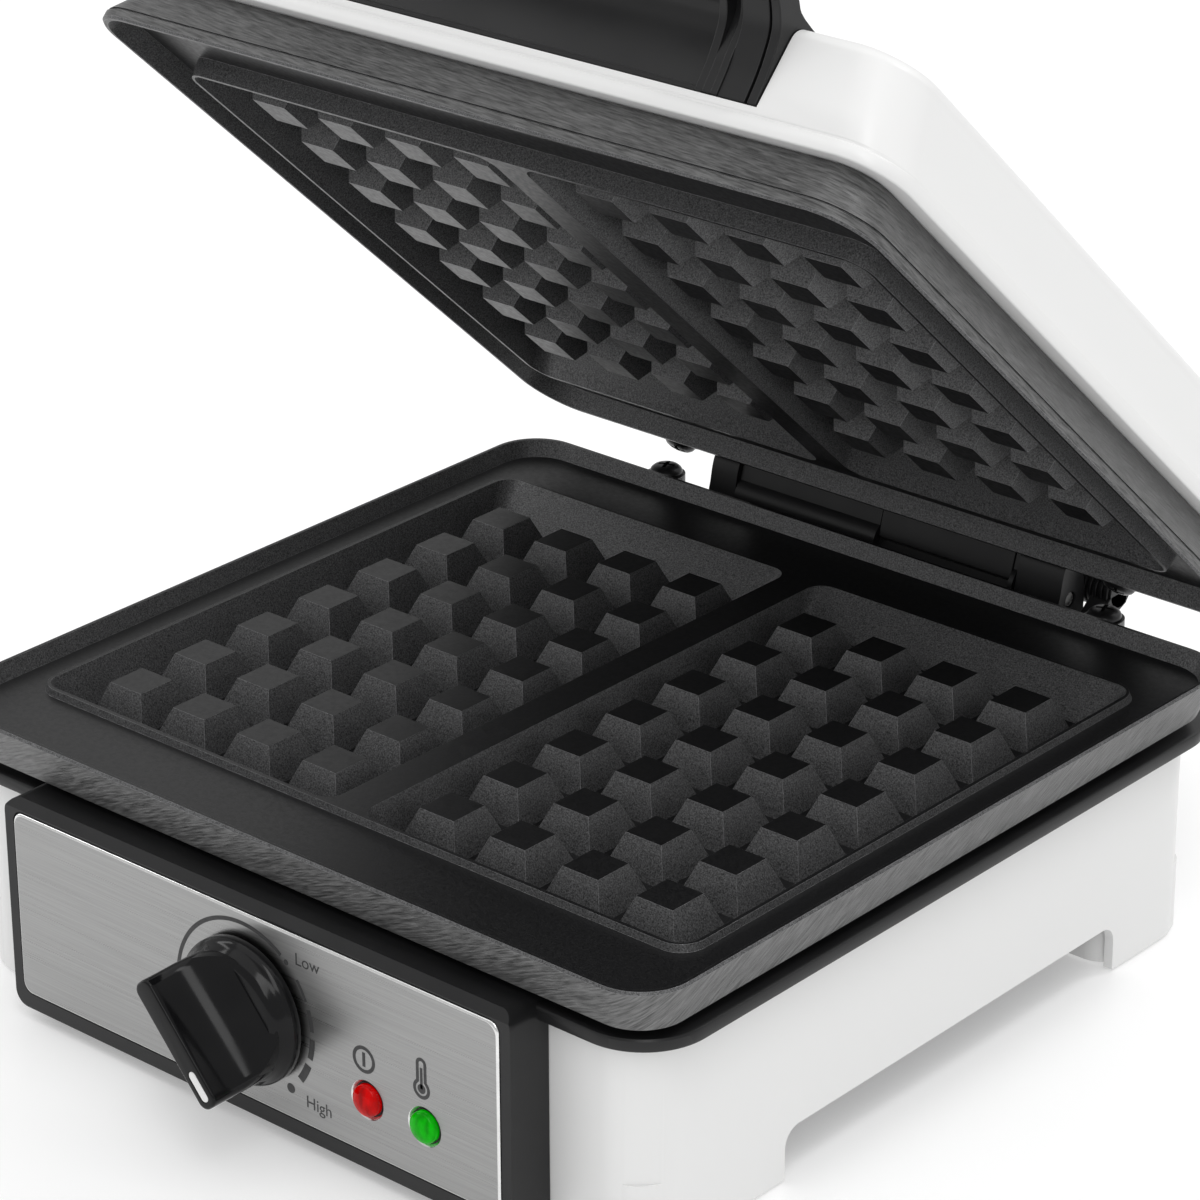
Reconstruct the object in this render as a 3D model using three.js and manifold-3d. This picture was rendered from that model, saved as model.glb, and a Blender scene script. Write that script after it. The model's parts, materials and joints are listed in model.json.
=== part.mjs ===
// Two-slice waffle maker with a hinged lid, two cast cooking plates and a front control housing.
// Millimetres, +X to the right, +Y to the back, +Z up. It stands on Z = 0, with the origin in the
// middle of its footprint. Heights inside the part are measured from the closing plane, where the
// rims of the two plates meet, so they are negative in the base and positive in the closed lid.

import * as THREE from 'three';
import { mergeVertices } from 'three/addons/utils/BufferGeometryUtils.js';
import Module from 'manifold-3d';

const wasm = await Module();
wasm.setup();

// ---------------------------------------------------------------- driving dimensions

const GAP = 0.3;                    // clearance between pieces that touch
const CLOSE_Z = 76;                 // closing plane above the table
const ORIGIN_Y = 1.4;               // plate centre, ahead of the middle of the footprint
const LID_ANGLE = 42.5;             // lid opening at rest, degrees
const HINGE = { y: 127, z: -4.4 };  // hinge axis, from the plate centre and the closing plane

// Cooking plates: outline at the closing plane, with sides that taper away from it
const PLATE = { w: 240, d: 230.6, r: 14, rim: 1.2, rimSlope: 2.6, wall: 2.6 };
const LOWER = { h: 12, taper: 3.7, land: 4.3, ridgeTop: 2.5, floor: 11.5, tip: 2.5, tray: 3 };
const UPPER = { h: 14.5, taper: 7, land: 5.4, ridgeTop: 0.6, floor: 12.5, tip: 2.5, tray: 3 };
const PEG = { pitch: 22.65, tip: 11, base: 18.6, firstX: 19.5, centreY: -1.5, cols: 4, rows: 7 };
const RIDGE = { halfW: 107.5, front: -88, back: 91, r: 7, top: 1.6, divider: 5 };
const SCREW_TAB = { x: 74.5, y: 121, r: 5.4, face: 2.8, top: 12 };

// Base: ring under the plate, white shell, control housing
const RING = { halfW: 117.6, front: -111.1, back: 118, r: 18, top: -15.3, bottom: -19 };
const RING_HOLE = { halfW: 104, halfD: 88, r: 8 };
const SHELL = { halfW: 112, front: -107.2, back: 112, r: 13, t: 2.6, bottom: -75 };
const ARCH = { front: -56.5, back: 76.5, halfW: 80, top: -61.8, r: 5 };
const PAD = { x: 101.5, w: 12, d: 24, sink: 1.6 };
const HOUSING = { halfW: 83.7, front: -120.5, top: -14, bottom: -72, r: 4, wall: 2.6, bevel: 2.2 };
const FASCIA = { w: 160.8, h: 50.6, r: 3, t: 1, z: -42.3, recess: 0.8 };
const DIAL = { x: 0, z: -42.3, shaftR: 3, bushR: 4.2 };
const KNOB = { skirtR: 19, shoulderR: 17.4, length: 34, front: -145, angle: -48.8 };
const LAMP = { xs: [39, 57.2], z: -52.7, r: 4, holeR: 4.4 };
const REAR_BLOCK = { halfW: 81, front: 106, back: 127, bottom: -28 };
const KNUCKLES = { left: [-59.6, -50.6], right: [45.1, 59.6] };

// Lid
const LID = { halfW: 118.4, front: -112, back: 114, r: 14.5, t: 2.8, lip: 14.8 };
const HANDLE = { halfW: 79.5, armIn: 62, bottom: 20.9, gripY: -141, gripZ: 55.2, screwX: 71 };
const BARREL = { x0: -50.1, x1: 44.6, r: 6, boreR: 2.3, pinR: 2 };
const COVER = { x0: -1.4, x1: 43.2, t: 1.5, proud: 0.4 };

// Lid profile from the lower lip up: [height, pull-in of the sides and back, pull-in of the front]
const LID_LEVELS = [
  [14.8, 0.5, 0.5], [15.3, 0, 0], [18.3, 0, 0], [18.6, 0.7, 0.6], [19.2, 0.8, 0.6], [19.5, 1.1, 0.3],
  [38.6, 6.8, 0.5], [40.6, 7.3, 1], [41.8, 8.4, 2], [42.4, 9.6, 3.2], [42.8, 11.2, 5], [43.5, 45, 40],
];

// Sections in the YZ plane, from the plate centre and the closing plane, with the lid closed
const ARM_SECTION = [
  [-112.1, 21.2], [-112.9, 28.2], [-114.3, 33.8], [-115.7, 37.5], [-118.3, 40.5], [-122.4, 43.4],
  [-130, 46.8], [-140, 48.2], [-148, 51.2], [-149.8, 55.2], [-147, 60.2], [-141, 62], [-133, 58.6],
  [-124, 52.2], [-115, 46.8], [-109.6, 44.4], [-92.4, 43.6], [-92.4, 40.1], [-101, 39.2], [-104.2, 37.6],
  [-106.4, 34.2], [-107.8, 21.2],
];
const PANEL_SECTION = [
  [-110.1, 21.2], [-109.5, 31.2], [-109.2, 37.2], [-110.3, 40.4], [-112.3, 42.6], [-112.5, 45.2],
  [-110.5, 46.2], [-106, 45.4], [-100, 44], [-92.4, 43.2], [-92.4, 40.1], [-101, 39.2], [-104.2, 37.6],
  [-106.4, 34.2], [-107.8, 21.2],
];
const HOOD_FRONT = [[122.8, -5.4], [121, -2], [119, 2.3], [117.6, 5.8], [116.6, 9.4]];

// ---------------------------------------------------------------- materials

function finish(color, roughness, metalness) {
  return new THREE.MeshStandardMaterial({ color, roughness, metalness });
}

const WHITE = finish(0xe9e9e8, 0.32, 0);
const BLACK = finish(0x242426, 0.42, 0);
const GLOSS_BLACK = finish(0x0e0e10, 0.12, 0);
const COATED = finish(0x3a3b3d, 0.5, 0.35);
const BRUSHED = finish(0x9b9b9a, 0.35, 1);
const STEEL = finish(0xb4b4b2, 0.3, 1);
const SHEET = finish(0xa8aaac, 0.45, 1);
const RUBBER = finish(0x1b1b1c, 0.85, 0);
const RED = finish(0xd01818, 0.15, 0);
const GREEN = finish(0x1fc232, 0.15, 0);
const CERAMIC = finish(0xd9d4c8, 0.6, 0);

// ---------------------------------------------------------------- solid helpers

// Rounded rectangle outline, anticlockwise, with the same number of points for any size.
function outline(x0, x1, y0, y1, r, steps = 4) {
  const corners = [[x1 - r, y0 + r, -90], [x1 - r, y1 - r, 0], [x0 + r, y1 - r, 90], [x0 + r, y0 + r, 180]];
  const points = [];
  for (const [cx, cy, start] of corners) {
    for (let i = 0; i <= steps; i++) {
      const a = THREE.MathUtils.degToRad(start + (steps ? (90 * i) / steps : 45));
      points.push([cx + r * Math.cos(a), cy + r * Math.sin(a)]);
    }
  }
  return points;
}

// Closed solid through a stack of outlines, each { z, points }, from the lowest up.
function loft(levels) {
  const count = levels[0].points.length;
  const positions = levels.flatMap(({ z, points }) => points.flatMap(([x, y]) => [x, y, z]));
  const index = [];
  for (let k = 0; k < levels.length - 1; k++) {
    for (let i = 0; i < count; i++) {
      const a = k * count + i;
      const b = k * count + ((i + 1) % count);
      index.push(a, b, b + count, a, b + count, a + count);
    }
  }
  const first = levels[0].points.map(([x, y]) => new THREE.Vector2(x, y));
  const cap = THREE.ShapeUtils.triangulateShape(first, []);
  const top = (levels.length - 1) * count;
  for (const [a, b, c] of cap) {
    index.push(a, c, b, top + a, top + b, top + c);
  }
  const geometry = new THREE.BufferGeometry();
  geometry.setAttribute('position', new THREE.Float32BufferAttribute(positions, 3));
  geometry.setIndex(index);
  return geometry;
}

// Straight or tapered block with rounded upright edges.
function block(x0, x1, y0, y1, z0, z1, r = 0.01, taper = 0, steps = 4) {
  return loft([
    { z: z0, points: outline(x0, x1, y0, y1, r, steps) },
    { z: z1, points: outline(x0 + taper, x1 - taper, y0 + taper, y1 - taper, r, steps) },
  ]);
}

function box(x0, x1, y0, y1, z0, z1) {
  const geometry = new THREE.BoxGeometry(x1 - x0, y1 - y0, z1 - z0);
  return geometry.translate((x0 + x1) / 2, (y0 + y1) / 2, (z0 + z1) / 2);
}

// Prism along X of an outline in the YZ plane.
function alongX(points, x0, x1) {
  const shape = new THREE.Shape(points.map(([y, z]) => new THREE.Vector2(y, z)));
  const geometry = new THREE.ExtrudeGeometry(shape, { depth: x1 - x0, bevelEnabled: false });
  geometry.applyMatrix4(new THREE.Matrix4().set(0, 0, 1, x0, 1, 0, 0, 0, 0, 1, 0, 0, 0, 0, 0, 1));
  return geometry;
}

// Round bars along one axis. Centres are the two coordinates across it.
function rodX(y, z, r, x0, x1, sides = 16) {
  const rod = new THREE.CylinderGeometry(r, r, x1 - x0, sides).rotateZ(Math.PI / 2);
  return rod.translate((x0 + x1) / 2, y, z);
}

function rodY(x, z, r, y0, y1, sides = 16) {
  return new THREE.CylinderGeometry(r, r, y1 - y0, sides).translate(x, (y0 + y1) / 2, z);
}

function rodZ(x, y, r, z0, z1, sides = 16) {
  const rod = new THREE.CylinderGeometry(r, r, z1 - z0, sides).rotateX(Math.PI / 2);
  return rod.translate(x, y, (z0 + z1) / 2);
}

// Turned solid about a line along -Y through (x, z): profile is [[radius, y], ...].
function turnedY(x, z, profile, sides = 20) {
  const points = profile.map(([r, y]) => new THREE.Vector2(r, y));
  return new THREE.LatheGeometry(points, sides).translate(x, 0, z);
}

function solid(geometry) {
  const bare = geometry.clone();
  bare.deleteAttribute('normal');
  bare.deleteAttribute('uv');
  const merged = mergeVertices(bare, 1e-4);
  return new wasm.Manifold(new wasm.Mesh({
    numProp: 3,
    vertProperties: new Float32Array(merged.attributes.position.array),
    triVerts: new Uint32Array(merged.index.array),
  }));
}

function join(...geometries) {
  return geometries.map((g) => (g.isBufferGeometry ? solid(g) : g)).reduce((a, b) => a.add(b));
}

function cut(body, ...geometries) {
  const start = body.isBufferGeometry ? solid(body) : body;
  return geometries.reduce((a, g) => a.subtract(g.isBufferGeometry ? solid(g) : g), start);
}

function geometryOf(body) {
  if (body.isBufferGeometry) return body;
  const mesh = body.getMesh();
  const geometry = new THREE.BufferGeometry();
  geometry.setAttribute('position', new THREE.Float32BufferAttribute(mesh.vertProperties, 3));
  geometry.setIndex([...mesh.triVerts]);
  return geometry;
}

// Mirror in the closing plane, with the faces turned back outwards.
function mirrorZ(body) {
  const geometry = geometryOf(body.isBufferGeometry ? solid(body) : body);
  const position = geometry.attributes.position;
  for (let i = 0; i < position.count; i++) position.setZ(i, -position.getZ(i));
  const order = geometry.index.array;
  for (let i = 0; i < order.length; i += 3) [order[i], order[i + 1]] = [order[i + 1], order[i]];
  return geometry;
}

function add(group, name, material, body) {
  const mesh = new THREE.Mesh(geometryOf(body), material);
  mesh.name = name;
  group.add(mesh);
  return mesh;
}

const SIDES = [['left', -1], ['right', 1]];

// ---------------------------------------------------------------- cooking plates

// Outline of a plate pulled in by a distance.
function plateOutline(inset, r = PLATE.r) {
  const x = PLATE.w / 2 - inset;
  const y = PLATE.d / 2 - inset;
  return outline(-x, x, -y, y, Math.max(r - inset / 2, 3));
}

// One square peg with sloping sides.
function peg(x, y, kind) {
  const half = PEG.base / 2;
  const taper = (PEG.base - PEG.tip) / 2;
  return block(x - half, x + half, y - half, y + half, -kind.floor - 0.2, -kind.tip, 0.01, taper, 0);
}

// Room for one waffle, with drafted walls.
function cavity(side, kind) {
  const inner = RIDGE.divider;
  const outer = RIDGE.halfW - RIDGE.top;
  const y0 = RIDGE.front + RIDGE.top;
  const y1 = RIDGE.back - RIDGE.top;
  const x = side < 0 ? [-outer, -inner] : [inner, outer];
  const foot = side < 0 ? [-outer + 5, -inner - 3] : [inner + 3, outer - 5];
  return loft([
    { z: -kind.floor, points: outline(foot[0], foot[1], y0 + 5, y1 - 10, 3) },
    { z: -kind.ridgeTop + 0.01, points: outline(x[0], x[1], y0, y1, 5) },
    { z: 2, points: outline(x[0], x[1], y0, y1, 5) },
  ]);
}

// A cast plate with its rim up at z = 0. The upper plate is this shape mirrored.
function castPlate(kind, levels) {
  const innerX = RIDGE.halfW + 1.5;
  const innerY = [RIDGE.front - 2, RIDGE.back + 2];
  let body = solid(loft(levels));
  const land = loft([
    { z: -kind.land, points: plateOutline(PLATE.rim + PLATE.rimSlope) },
    { z: 0.5, points: plateOutline(PLATE.rim) },
  ]);
  const hollow = loft([
    { z: -kind.h - 1, points: plateOutline(kind.taper + PLATE.wall) },
    { z: -kind.land - PLATE.wall, points: plateOutline(PLATE.rim + PLATE.rimSlope + 1.4) },
  ]);
  const core = block(-innerX, innerX, innerY[0], innerY[1], -kind.h - 2, 0, RIDGE.r);
  const { halfW, front, back, r } = RIDGE;
  const ridge = block(-halfW, halfW, front, back, -kind.land - 0.2, -kind.ridgeTop, r, 0.5);
  const tray = block(-innerX, innerX, innerY[0], innerY[1], -kind.h - kind.tray, -kind.h + 0.2, RIDGE.r);
  body = cut(body, land, cut(hollow, core));
  body = join(body, ridge, tray);
  for (const [, side] of SIDES) {
    body = cut(body, cavity(side, kind));
    for (let col = 0; col < PEG.cols; col++) {
      for (let row = 0; row < PEG.rows; row++) {
        const y = PEG.centreY + (row - (PEG.rows - 1) / 2) * PEG.pitch;
        body = join(body, peg(side * (PEG.firstX + col * PEG.pitch), y, kind));
      }
    }
    const x = side * SCREW_TAB.x;
    const { y, r, face, top } = SCREW_TAB;
    const web = box(x - r, x + r, PLATE.d / 2 - kind.taper - 1, y, -top + 1, -face - 3);
    body = cut(join(body, rodZ(x, y, r, -top, -face), web), rodZ(x, y, 2.2, -top - 1, 0));
  }
  return body;
}

function lowerPlate() {
  return castPlate(LOWER, [
    { z: -LOWER.h, points: plateOutline(LOWER.taper) },
    { z: -0.7, points: plateOutline(0) },
    { z: 0, points: plateOutline(0.6) },
  ]);
}

// The upper plate has a narrow groove round its side, just above the rim.
function upperPlate() {
  const groove = { top: -3.3, bottom: -2.6, depth: 0.8 };
  return mirrorZ(castPlate(UPPER, [
    { z: -UPPER.h, points: plateOutline(UPPER.taper) },
    { z: groove.top, points: plateOutline(0.3) },
    { z: groove.top + 0.01, points: plateOutline(groove.depth) },
    { z: groove.bottom, points: plateOutline(groove.depth) },
    { z: groove.bottom + 0.01, points: plateOutline(0) },
    { z: -0.7, points: plateOutline(0) },
    { z: 0, points: plateOutline(0.6) },
  ]));
}

// Pan-head screw in the plate's tab, head at z = -face, shank down.
function tabScrew(side) {
  const x = side * SCREW_TAB.x;
  const head = rodZ(x, SCREW_TAB.y, 4, -SCREW_TAB.face + GAP, -GAP);
  return join(head, rodZ(x, SCREW_TAB.y, 1.7, -24, -SCREW_TAB.face + GAP + 0.1, 12));
}

// Sheathed heating element: one loop round under the cavities, with its two ends turned down.
function heater() {
  const z = -LOWER.h - LOWER.tray - 4.5;
  const x = 86;
  const y = 68;
  const half = [[9, -y, z - 9], [10, -y, z - 3], [17, -y, z], [x - 18, -y, z], [x, -y + 18, z], [x, 0, z]];
  const far = [[x, y - 18, z], [x - 18, y, z], [0, y, z]];
  const right = [...half, ...far].map((p) => new THREE.Vector3(...p));
  const left = right.slice(0, -1).reverse().map((p) => new THREE.Vector3(-p.x, p.y, p.z));
  const path = new THREE.CatmullRomCurve3([...right, ...left], false, 'centripetal');
  const section = new THREE.Shape();
  section.absarc(0, 0, 3.2, 0, Math.PI * 2);
  const settings = { steps: 40, extrudePath: path, curveSegments: 3, bevelEnabled: false };
  return new THREE.ExtrudeGeometry(section, settings);
}

// Pressed sheet tray that turns the heat back to the plate.
function reflector() {
  const floor = -33;
  const rim = -21;
  const tray = block(-97, 97, -80, 80, floor, rim, 12, -4);
  const inside = block(-96, 96, -79, 79, floor + 1, rim + 0.1, 11, -4);
  return cut(tray, inside, box(-16, 16, -82, -60, floor - 1, floor + 2));
}

// ---------------------------------------------------------------- base

function baseShell() {
  const { halfW, front, back, r, t, bottom } = SHELL;
  const top = RING.bottom - GAP;
  const inner = [-halfW + t, halfW - t, front + t, back - t];
  const ledge = cut(
    block(-halfW + 1, halfW - 1, front + 1, back - 1, -58.5, -55.5, r - 1),
    block(-halfW + 12, halfW - 12, front + 12, back - 12, -60, -54, r - t),
    box(-72, 72, front, front + 20, -60, -54),
    box(58, 78, back - 20, back, -60, -54),
  );
  const outer = block(-halfW, halfW, front, back, bottom, top, r);
  let body = cut(outer, block(...inner, bottom - 1, top + 1, r - t));
  body = join(body, ledge);
  const footSpace = solid(block(-halfW + 1, halfW - 1, front + 1, back - 1, bottom, -50, r - 1));
  for (const [, side] of SIDES) {
    for (const [y0, y1] of [[front - 1, ARCH.front], [ARCH.back, back + 1]]) {
      const xs = side < 0 ? [-halfW - 1, -ARCH.halfW] : [ARCH.halfW, halfW + 1];
      body = join(body, solid(box(xs[0], xs[1], y0, y1, bottom, -56)).intersect(footSpace));
    }
  }
  const archY = alongX(archOutline(ARCH.front, ARCH.back), -halfW - 5, halfW + 5);
  const archX = alongX(archOutline(-ARCH.halfW, ARCH.halfW), front - 5, back + 5).rotateZ(Math.PI / 2);
  const boxes = [];
  for (const [, side] of SIDES) {
    for (const y of [-30, 50]) {
      const x = side * 104.5;
      body = cut(join(body, rodZ(x, y, 5.4, -58.5, -44)), rodZ(x, y, 1.9, -60, -47, 12));
    }
    boxes.push(padPocket(side, padY('front')), padPocket(side, padY('rear')));
  }
  const window = box(-70, 70, front - 1, front + t + 1, -62, -24);
  return cut(body, archY, archX, window, rodY(68, -48, 5.5, back - 5, back + 1), ...boxes);
}

// Long low arch with rounded upper corners, in the YZ plane.
function archOutline(y0, y1) {
  const points = [[y0, SHELL.bottom - 1], [y1, SHELL.bottom - 1]];
  for (const [cy, from] of [[y1 - ARCH.r, 0], [y0 + ARCH.r, 90]]) {
    for (let a = from; a <= from + 90; a += 18) {
      const angle = THREE.MathUtils.degToRad(a);
      points.push([cy + ARCH.r * Math.cos(angle), ARCH.top - ARCH.r + ARCH.r * Math.sin(angle)]);
    }
  }
  return points;
}

function padY(place) {
  return place === 'front' ? (SHELL.front + ARCH.front) / 2 : (SHELL.back + ARCH.back) / 2 - 1;
}

function padPocket(side, y) {
  const x = side * PAD.x;
  const [w, d] = [PAD.w / 2 + GAP, PAD.d / 2 + GAP];
  return block(x - w, x + w, y - d, y + d, SHELL.bottom - 1, SHELL.bottom + PAD.sink, 3);
}

function footPad(side, y) {
  const x = side * PAD.x;
  const [w, d] = [PAD.w / 2, PAD.d / 2];
  return block(x - w, x + w, y - d, y + d, -CLOSE_Z, SHELL.bottom + PAD.sink - GAP, 2.7, 0.3, 3);
}

// Floor plate between the four feet, with two rows of vent slots.
function bottomCover() {
  const { halfW, front, back, t, r } = SHELL;
  const edge = t + GAP;
  const z = [ARCH.top, -58.5 - GAP];
  const plate = block(-halfW + edge, halfW - edge, front + edge, back - edge, z[0], z[1], r - t);
  const cuts = [];
  for (const [, side] of SIDES) {
    for (const [y0, y1] of [[front - 1, ARCH.front + GAP], [ARCH.back - GAP, back + 1]]) {
      const xs = side < 0 ? [-halfW - 1, -ARCH.halfW + GAP] : [ARCH.halfW - GAP, halfW + 1];
      cuts.push(box(xs[0], xs[1], y0, y1, z[0] - 1, z[1] + 1));
    }
    for (let i = -2; i <= 2; i++) {
      cuts.push(box(side * 45 - 14, side * 45 + 14, i * 12 - 2, i * 12 + 2, z[0] - 1, z[1] + 1));
    }
    for (const y of [-30, 50]) cuts.push(rodZ(side * 104.5, y, 2.2, z[0] - 1, z[1] + 1, 12));
  }
  return cut(plate, ...cuts);
}

function coverScrew(side, y) {
  const x = side * 104.5;
  const under = ARCH.top - GAP;
  return join(rodZ(x, y, 3.4, under - 2, under), rodZ(x, y, 1.5, under - 0.1, -48, 12));
}

// Black moulding: ring under the plate, control housing in front, hinge block and knuckles behind.
function baseFrame() {
  const { halfW, front, back, r, top, bottom } = RING;
  const ring = loft([
    { z: bottom, points: outline(-halfW + 0.5, halfW - 0.5, front + 0.5, back - 0.5, r) },
    { z: bottom + 0.5, points: outline(-halfW, halfW, front, back, r) },
    { z: top - 0.8, points: outline(-halfW, halfW, front, back, r) },
    { z: top, points: outline(-halfW + 0.8, halfW - 0.8, front + 0.8, back - 0.8, r) },
  ]);
  const skirtX = SHELL.halfW - SHELL.t - GAP;
  const skirtY = [SHELL.front + SHELL.t + GAP, SHELL.back - SHELL.t - GAP];
  const skirtR = SHELL.r - SHELL.t;
  const skirt = cut(
    block(-skirtX, skirtX, skirtY[0], skirtY[1], bottom - 5, bottom + 1, skirtR),
    block(-skirtX + 2, skirtX - 2, skirtY[0] + 2, skirtY[1] - 2, bottom - 6, bottom + 2, skirtR - 2),
  );
  const hole = ringHole(-80, 0);
  let body = join(cut(ring, hole), skirt, housing());
  body = join(body, rearBlock());
  const wallX = SHELL.halfW + GAP;
  const wallY = [SHELL.back - SHELL.t - GAP, SHELL.back + GAP];
  const rearWall = block(-wallX, wallX, wallY[0], wallY[1], -90, bottom, 0.01);
  return cut(body, rearWall, ...housingHoles());
}

// Opening through the middle of the ring, which the lid's liner has too.
function ringHole(z0, z1) {
  const { halfW, halfD, r } = RING_HOLE;
  return block(-halfW, halfW, -halfD, halfD, z0, z1, r);
}

function housing() {
  const { halfW, front, top, bottom, r, wall, bevel } = HOUSING;
  const back = SHELL.front - GAP;
  const shape = block(-halfW, halfW, bottom, top, -back, -front, r).rotateX(Math.PI / 2);
  const wedge = alongX([[front - 1, top - bevel - 1], [front + bevel + 1, top + 1], [front - 1, top + 1]],
    -halfW - 1, halfW + 1);
  const inside = box(-halfW + wall, halfW - wall, front + wall, back + 1, bottom + wall, bottom + 53);
  const bridge = box(-halfW + 6, halfW - 6, back - 3, -RING_HOLE.halfD - 6, RING.bottom, RING.top);
  return join(cut(shape, wedge, inside), bridge);
}

function housingHoles() {
  const y = [HOUSING.front - 1, HOUSING.front + HOUSING.wall + 1];
  const [w, h] = [FASCIA.w / 2 + GAP, FASCIA.h / 2 + GAP];
  const depth = [-HOUSING.front - FASCIA.recess, -HOUSING.front + 1];
  const sunk = block(-w, w, FASCIA.z - h, FASCIA.z + h, ...depth, FASCIA.r + GAP);
  const pocket = sunk.rotateX(Math.PI / 2);
  const lamps = LAMP.xs.map((x) => rodY(x, LAMP.z, LAMP.holeR + 0.5, ...y));
  return [pocket, rodY(DIAL.x, DIAL.z, DIAL.bushR + GAP, ...y), ...lamps];
}

// Block behind the ring that takes the rear plate screws and carries the two hinge knuckles.
function rearBlock() {
  const { halfW, front, back, bottom } = REAR_BLOCK;
  const top = RING.top - 0.4;
  let body = solid(block(-halfW, halfW, SHELL.back + GAP, back, bottom, top, 3));
  body = join(body, box(-halfW, halfW, front, SHELL.back + 3, RING.bottom, top));
  for (const [name, side] of SIDES) {
    body = join(body, knuckle(...KNUCKLES[name]));
    body = cut(body, rodZ(side * SCREW_TAB.x, SCREW_TAB.y, 2, bottom + 1, 0, 12));
  }
  return cut(body, rodX(HINGE.y, HINGE.z, BARREL.pinR + GAP, -80, 80));
}

// Upright ear that carries one end of the hinge, with a hood over it.
function knuckle(x0, x1) {
  const { y, z } = HINGE;
  const foot = [[y - 6, z - 2], [y - 10, RING.bottom], [y, RING.bottom - 6], [y + 6, z - 6]];
  const hood = [
    [y + 6.2, z], [y + 5.4, z + 6], [y + 2.6, z + 9.8], [y - 0.6, z + 11], [y - 2.6, z + 10],
    [y - 3.8, z + 7], [y - 4.6, z + 3],
  ];
  return alongX([...foot, ...hood], x0, x1);
}

// Ribbed guard for the leads that pass from the base to the lid.
function leadGuard() {
  const [x0, x1] = [54, 66.6];
  const [y, z] = [140, -4.5];
  const ribs = 5;
  const parts = [rodX(y, z, 4.7, x0, x1, 20)];
  const stem = [[y - 18, -15.4], [y - 13.5, -15.4], [y + 3, z - 4], [y + 3, z], [y - 4, z]];
  parts.push(alongX(stem, 60.4, x1));
  const pitch = (x1 - x0) / ribs;
  for (let i = 0; i < ribs; i++) {
    const x = x0 + i * pitch;
    parts.push(rodX(y, z, 5.5, x, x + pitch * 0.6, 20));
  }
  return join(...parts);
}

function fascia() {
  const [w, h] = [FASCIA.w / 2, FASCIA.h / 2];
  const back = -HOUSING.front - FASCIA.recess + GAP;
  const flat = block(-w, w, FASCIA.z - h, FASCIA.z + h, back, back + FASCIA.t, FASCIA.r, 0, 6);
  const plate = flat.rotateX(Math.PI / 2);
  const y = [HOUSING.front - 3, HOUSING.front + 3];
  const lamps = LAMP.xs.map((x) => rodY(x, LAMP.z, LAMP.holeR, ...y));
  return cut(plate, rodY(DIAL.x, DIAL.z, DIAL.bushR + GAP, ...y), ...lamps);
}

// Domed lamp lens with a plain stem behind it.
function lens(x) {
  const y = HOUSING.front;
  const dome = 1.7;
  const profile = [[0, y + 3], [LAMP.r, y + 3], [LAMP.r, y - 1.1]];
  for (let a = 25; a < 90; a += 25) {
    const angle = THREE.MathUtils.degToRad(a);
    profile.push([LAMP.r * Math.cos(angle), y - 1.1 - dome * Math.sin(angle)]);
  }
  profile.push([0, y - 1.1 - dome]);
  return turnedY(x, LAMP.z, profile.reverse());
}

function lampHolder(x) {
  const y = HOUSING.front + HOUSING.wall + 1;
  return join(rodY(x, LAMP.z, 5.2, y, y + 3), rodY(x, LAMP.z, 4, y + 2.9, y + 18));
}

function thermostat() {
  const bush = turnedY(DIAL.x, DIAL.z, [[DIAL.shaftR + GAP, -100], [DIAL.bushR, -100],
    [DIAL.bushR, HOUSING.front + 1], [DIAL.shaftR + GAP, HOUSING.front + 1], [DIAL.shaftR + GAP, -100]].reverse());
  const collar = turnedY(DIAL.x, DIAL.z, [[DIAL.shaftR + GAP, -98], [8, -98], [8, -101],
    [DIAL.shaftR + GAP, -101], [DIAL.shaftR + GAP, -98]].reverse());
  return join(bush, collar, block(-17, 17, -98.5, -70, -57, -36, 3));
}

function shaft() {
  const rod = rodY(DIAL.x, DIAL.z, DIAL.shaftR, -136, -101.5);
  return cut(rod, box(DIAL.x - 4, DIAL.x + 4, -137, -126, DIAL.z + 1.6, DIAL.z + 5));
}

// Places a shape made about +Z so that +Z points out of the front panel, turned to the dial angle.
function onDial(geometry) {
  const turned = geometry.rotateZ(THREE.MathUtils.degToRad(KNOB.angle));
  return turned.rotateX(Math.PI / 2).translate(DIAL.x, 0, DIAL.z);
}

// Round skirt with a bar grip whose flanks curve in towards its narrow front face.
function knob() {
  const back = -HOUSING.front + 1.2;
  const front = -KNOB.front;
  const half = KNOB.length / 2;
  const skirt = new THREE.LatheGeometry([
    [0, back], [KNOB.skirtR, back], [KNOB.skirtR, back + 2.6], [KNOB.shoulderR, back + 4],
    [KNOB.shoulderR, back + 6], [KNOB.shoulderR - 1.5, back + 7], [0, back + 7],
  ].map(([r, z]) => new THREE.Vector2(r, z)), 40).rotateX(Math.PI / 2);
  const grip = loft([0, 0.12, 0.3, 0.55, 0.8, 0.95, 1].map((s) => {
    const across = 3.1 + 7.4 * (1 - s) ** 2 - (s === 1 ? 0.5 : 0);
    const along = half - (s === 1 ? 0.6 : 0);
    const points = outline(-along, along, -across, across, 2.5, 4);
    return { z: back + 6 + s * (front - back - 6), points };
  }));
  const bore = rodZ(0, 0, DIAL.shaftR + GAP, back - 1, -KNOB.front - 6);
  const slot = block(7, 15.4, -1.4, 1.4, front - 0.9, front + 1, 1.2);
  return onDial(geometryOf(cut(join(skirt, grip), bore, slot)));
}

function knobPointer() {
  const front = -KNOB.front;
  return onDial(block(7.3, 15.1, -1.1, 1.1, front - 0.6, front + 0.1, 1));
}

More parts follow.
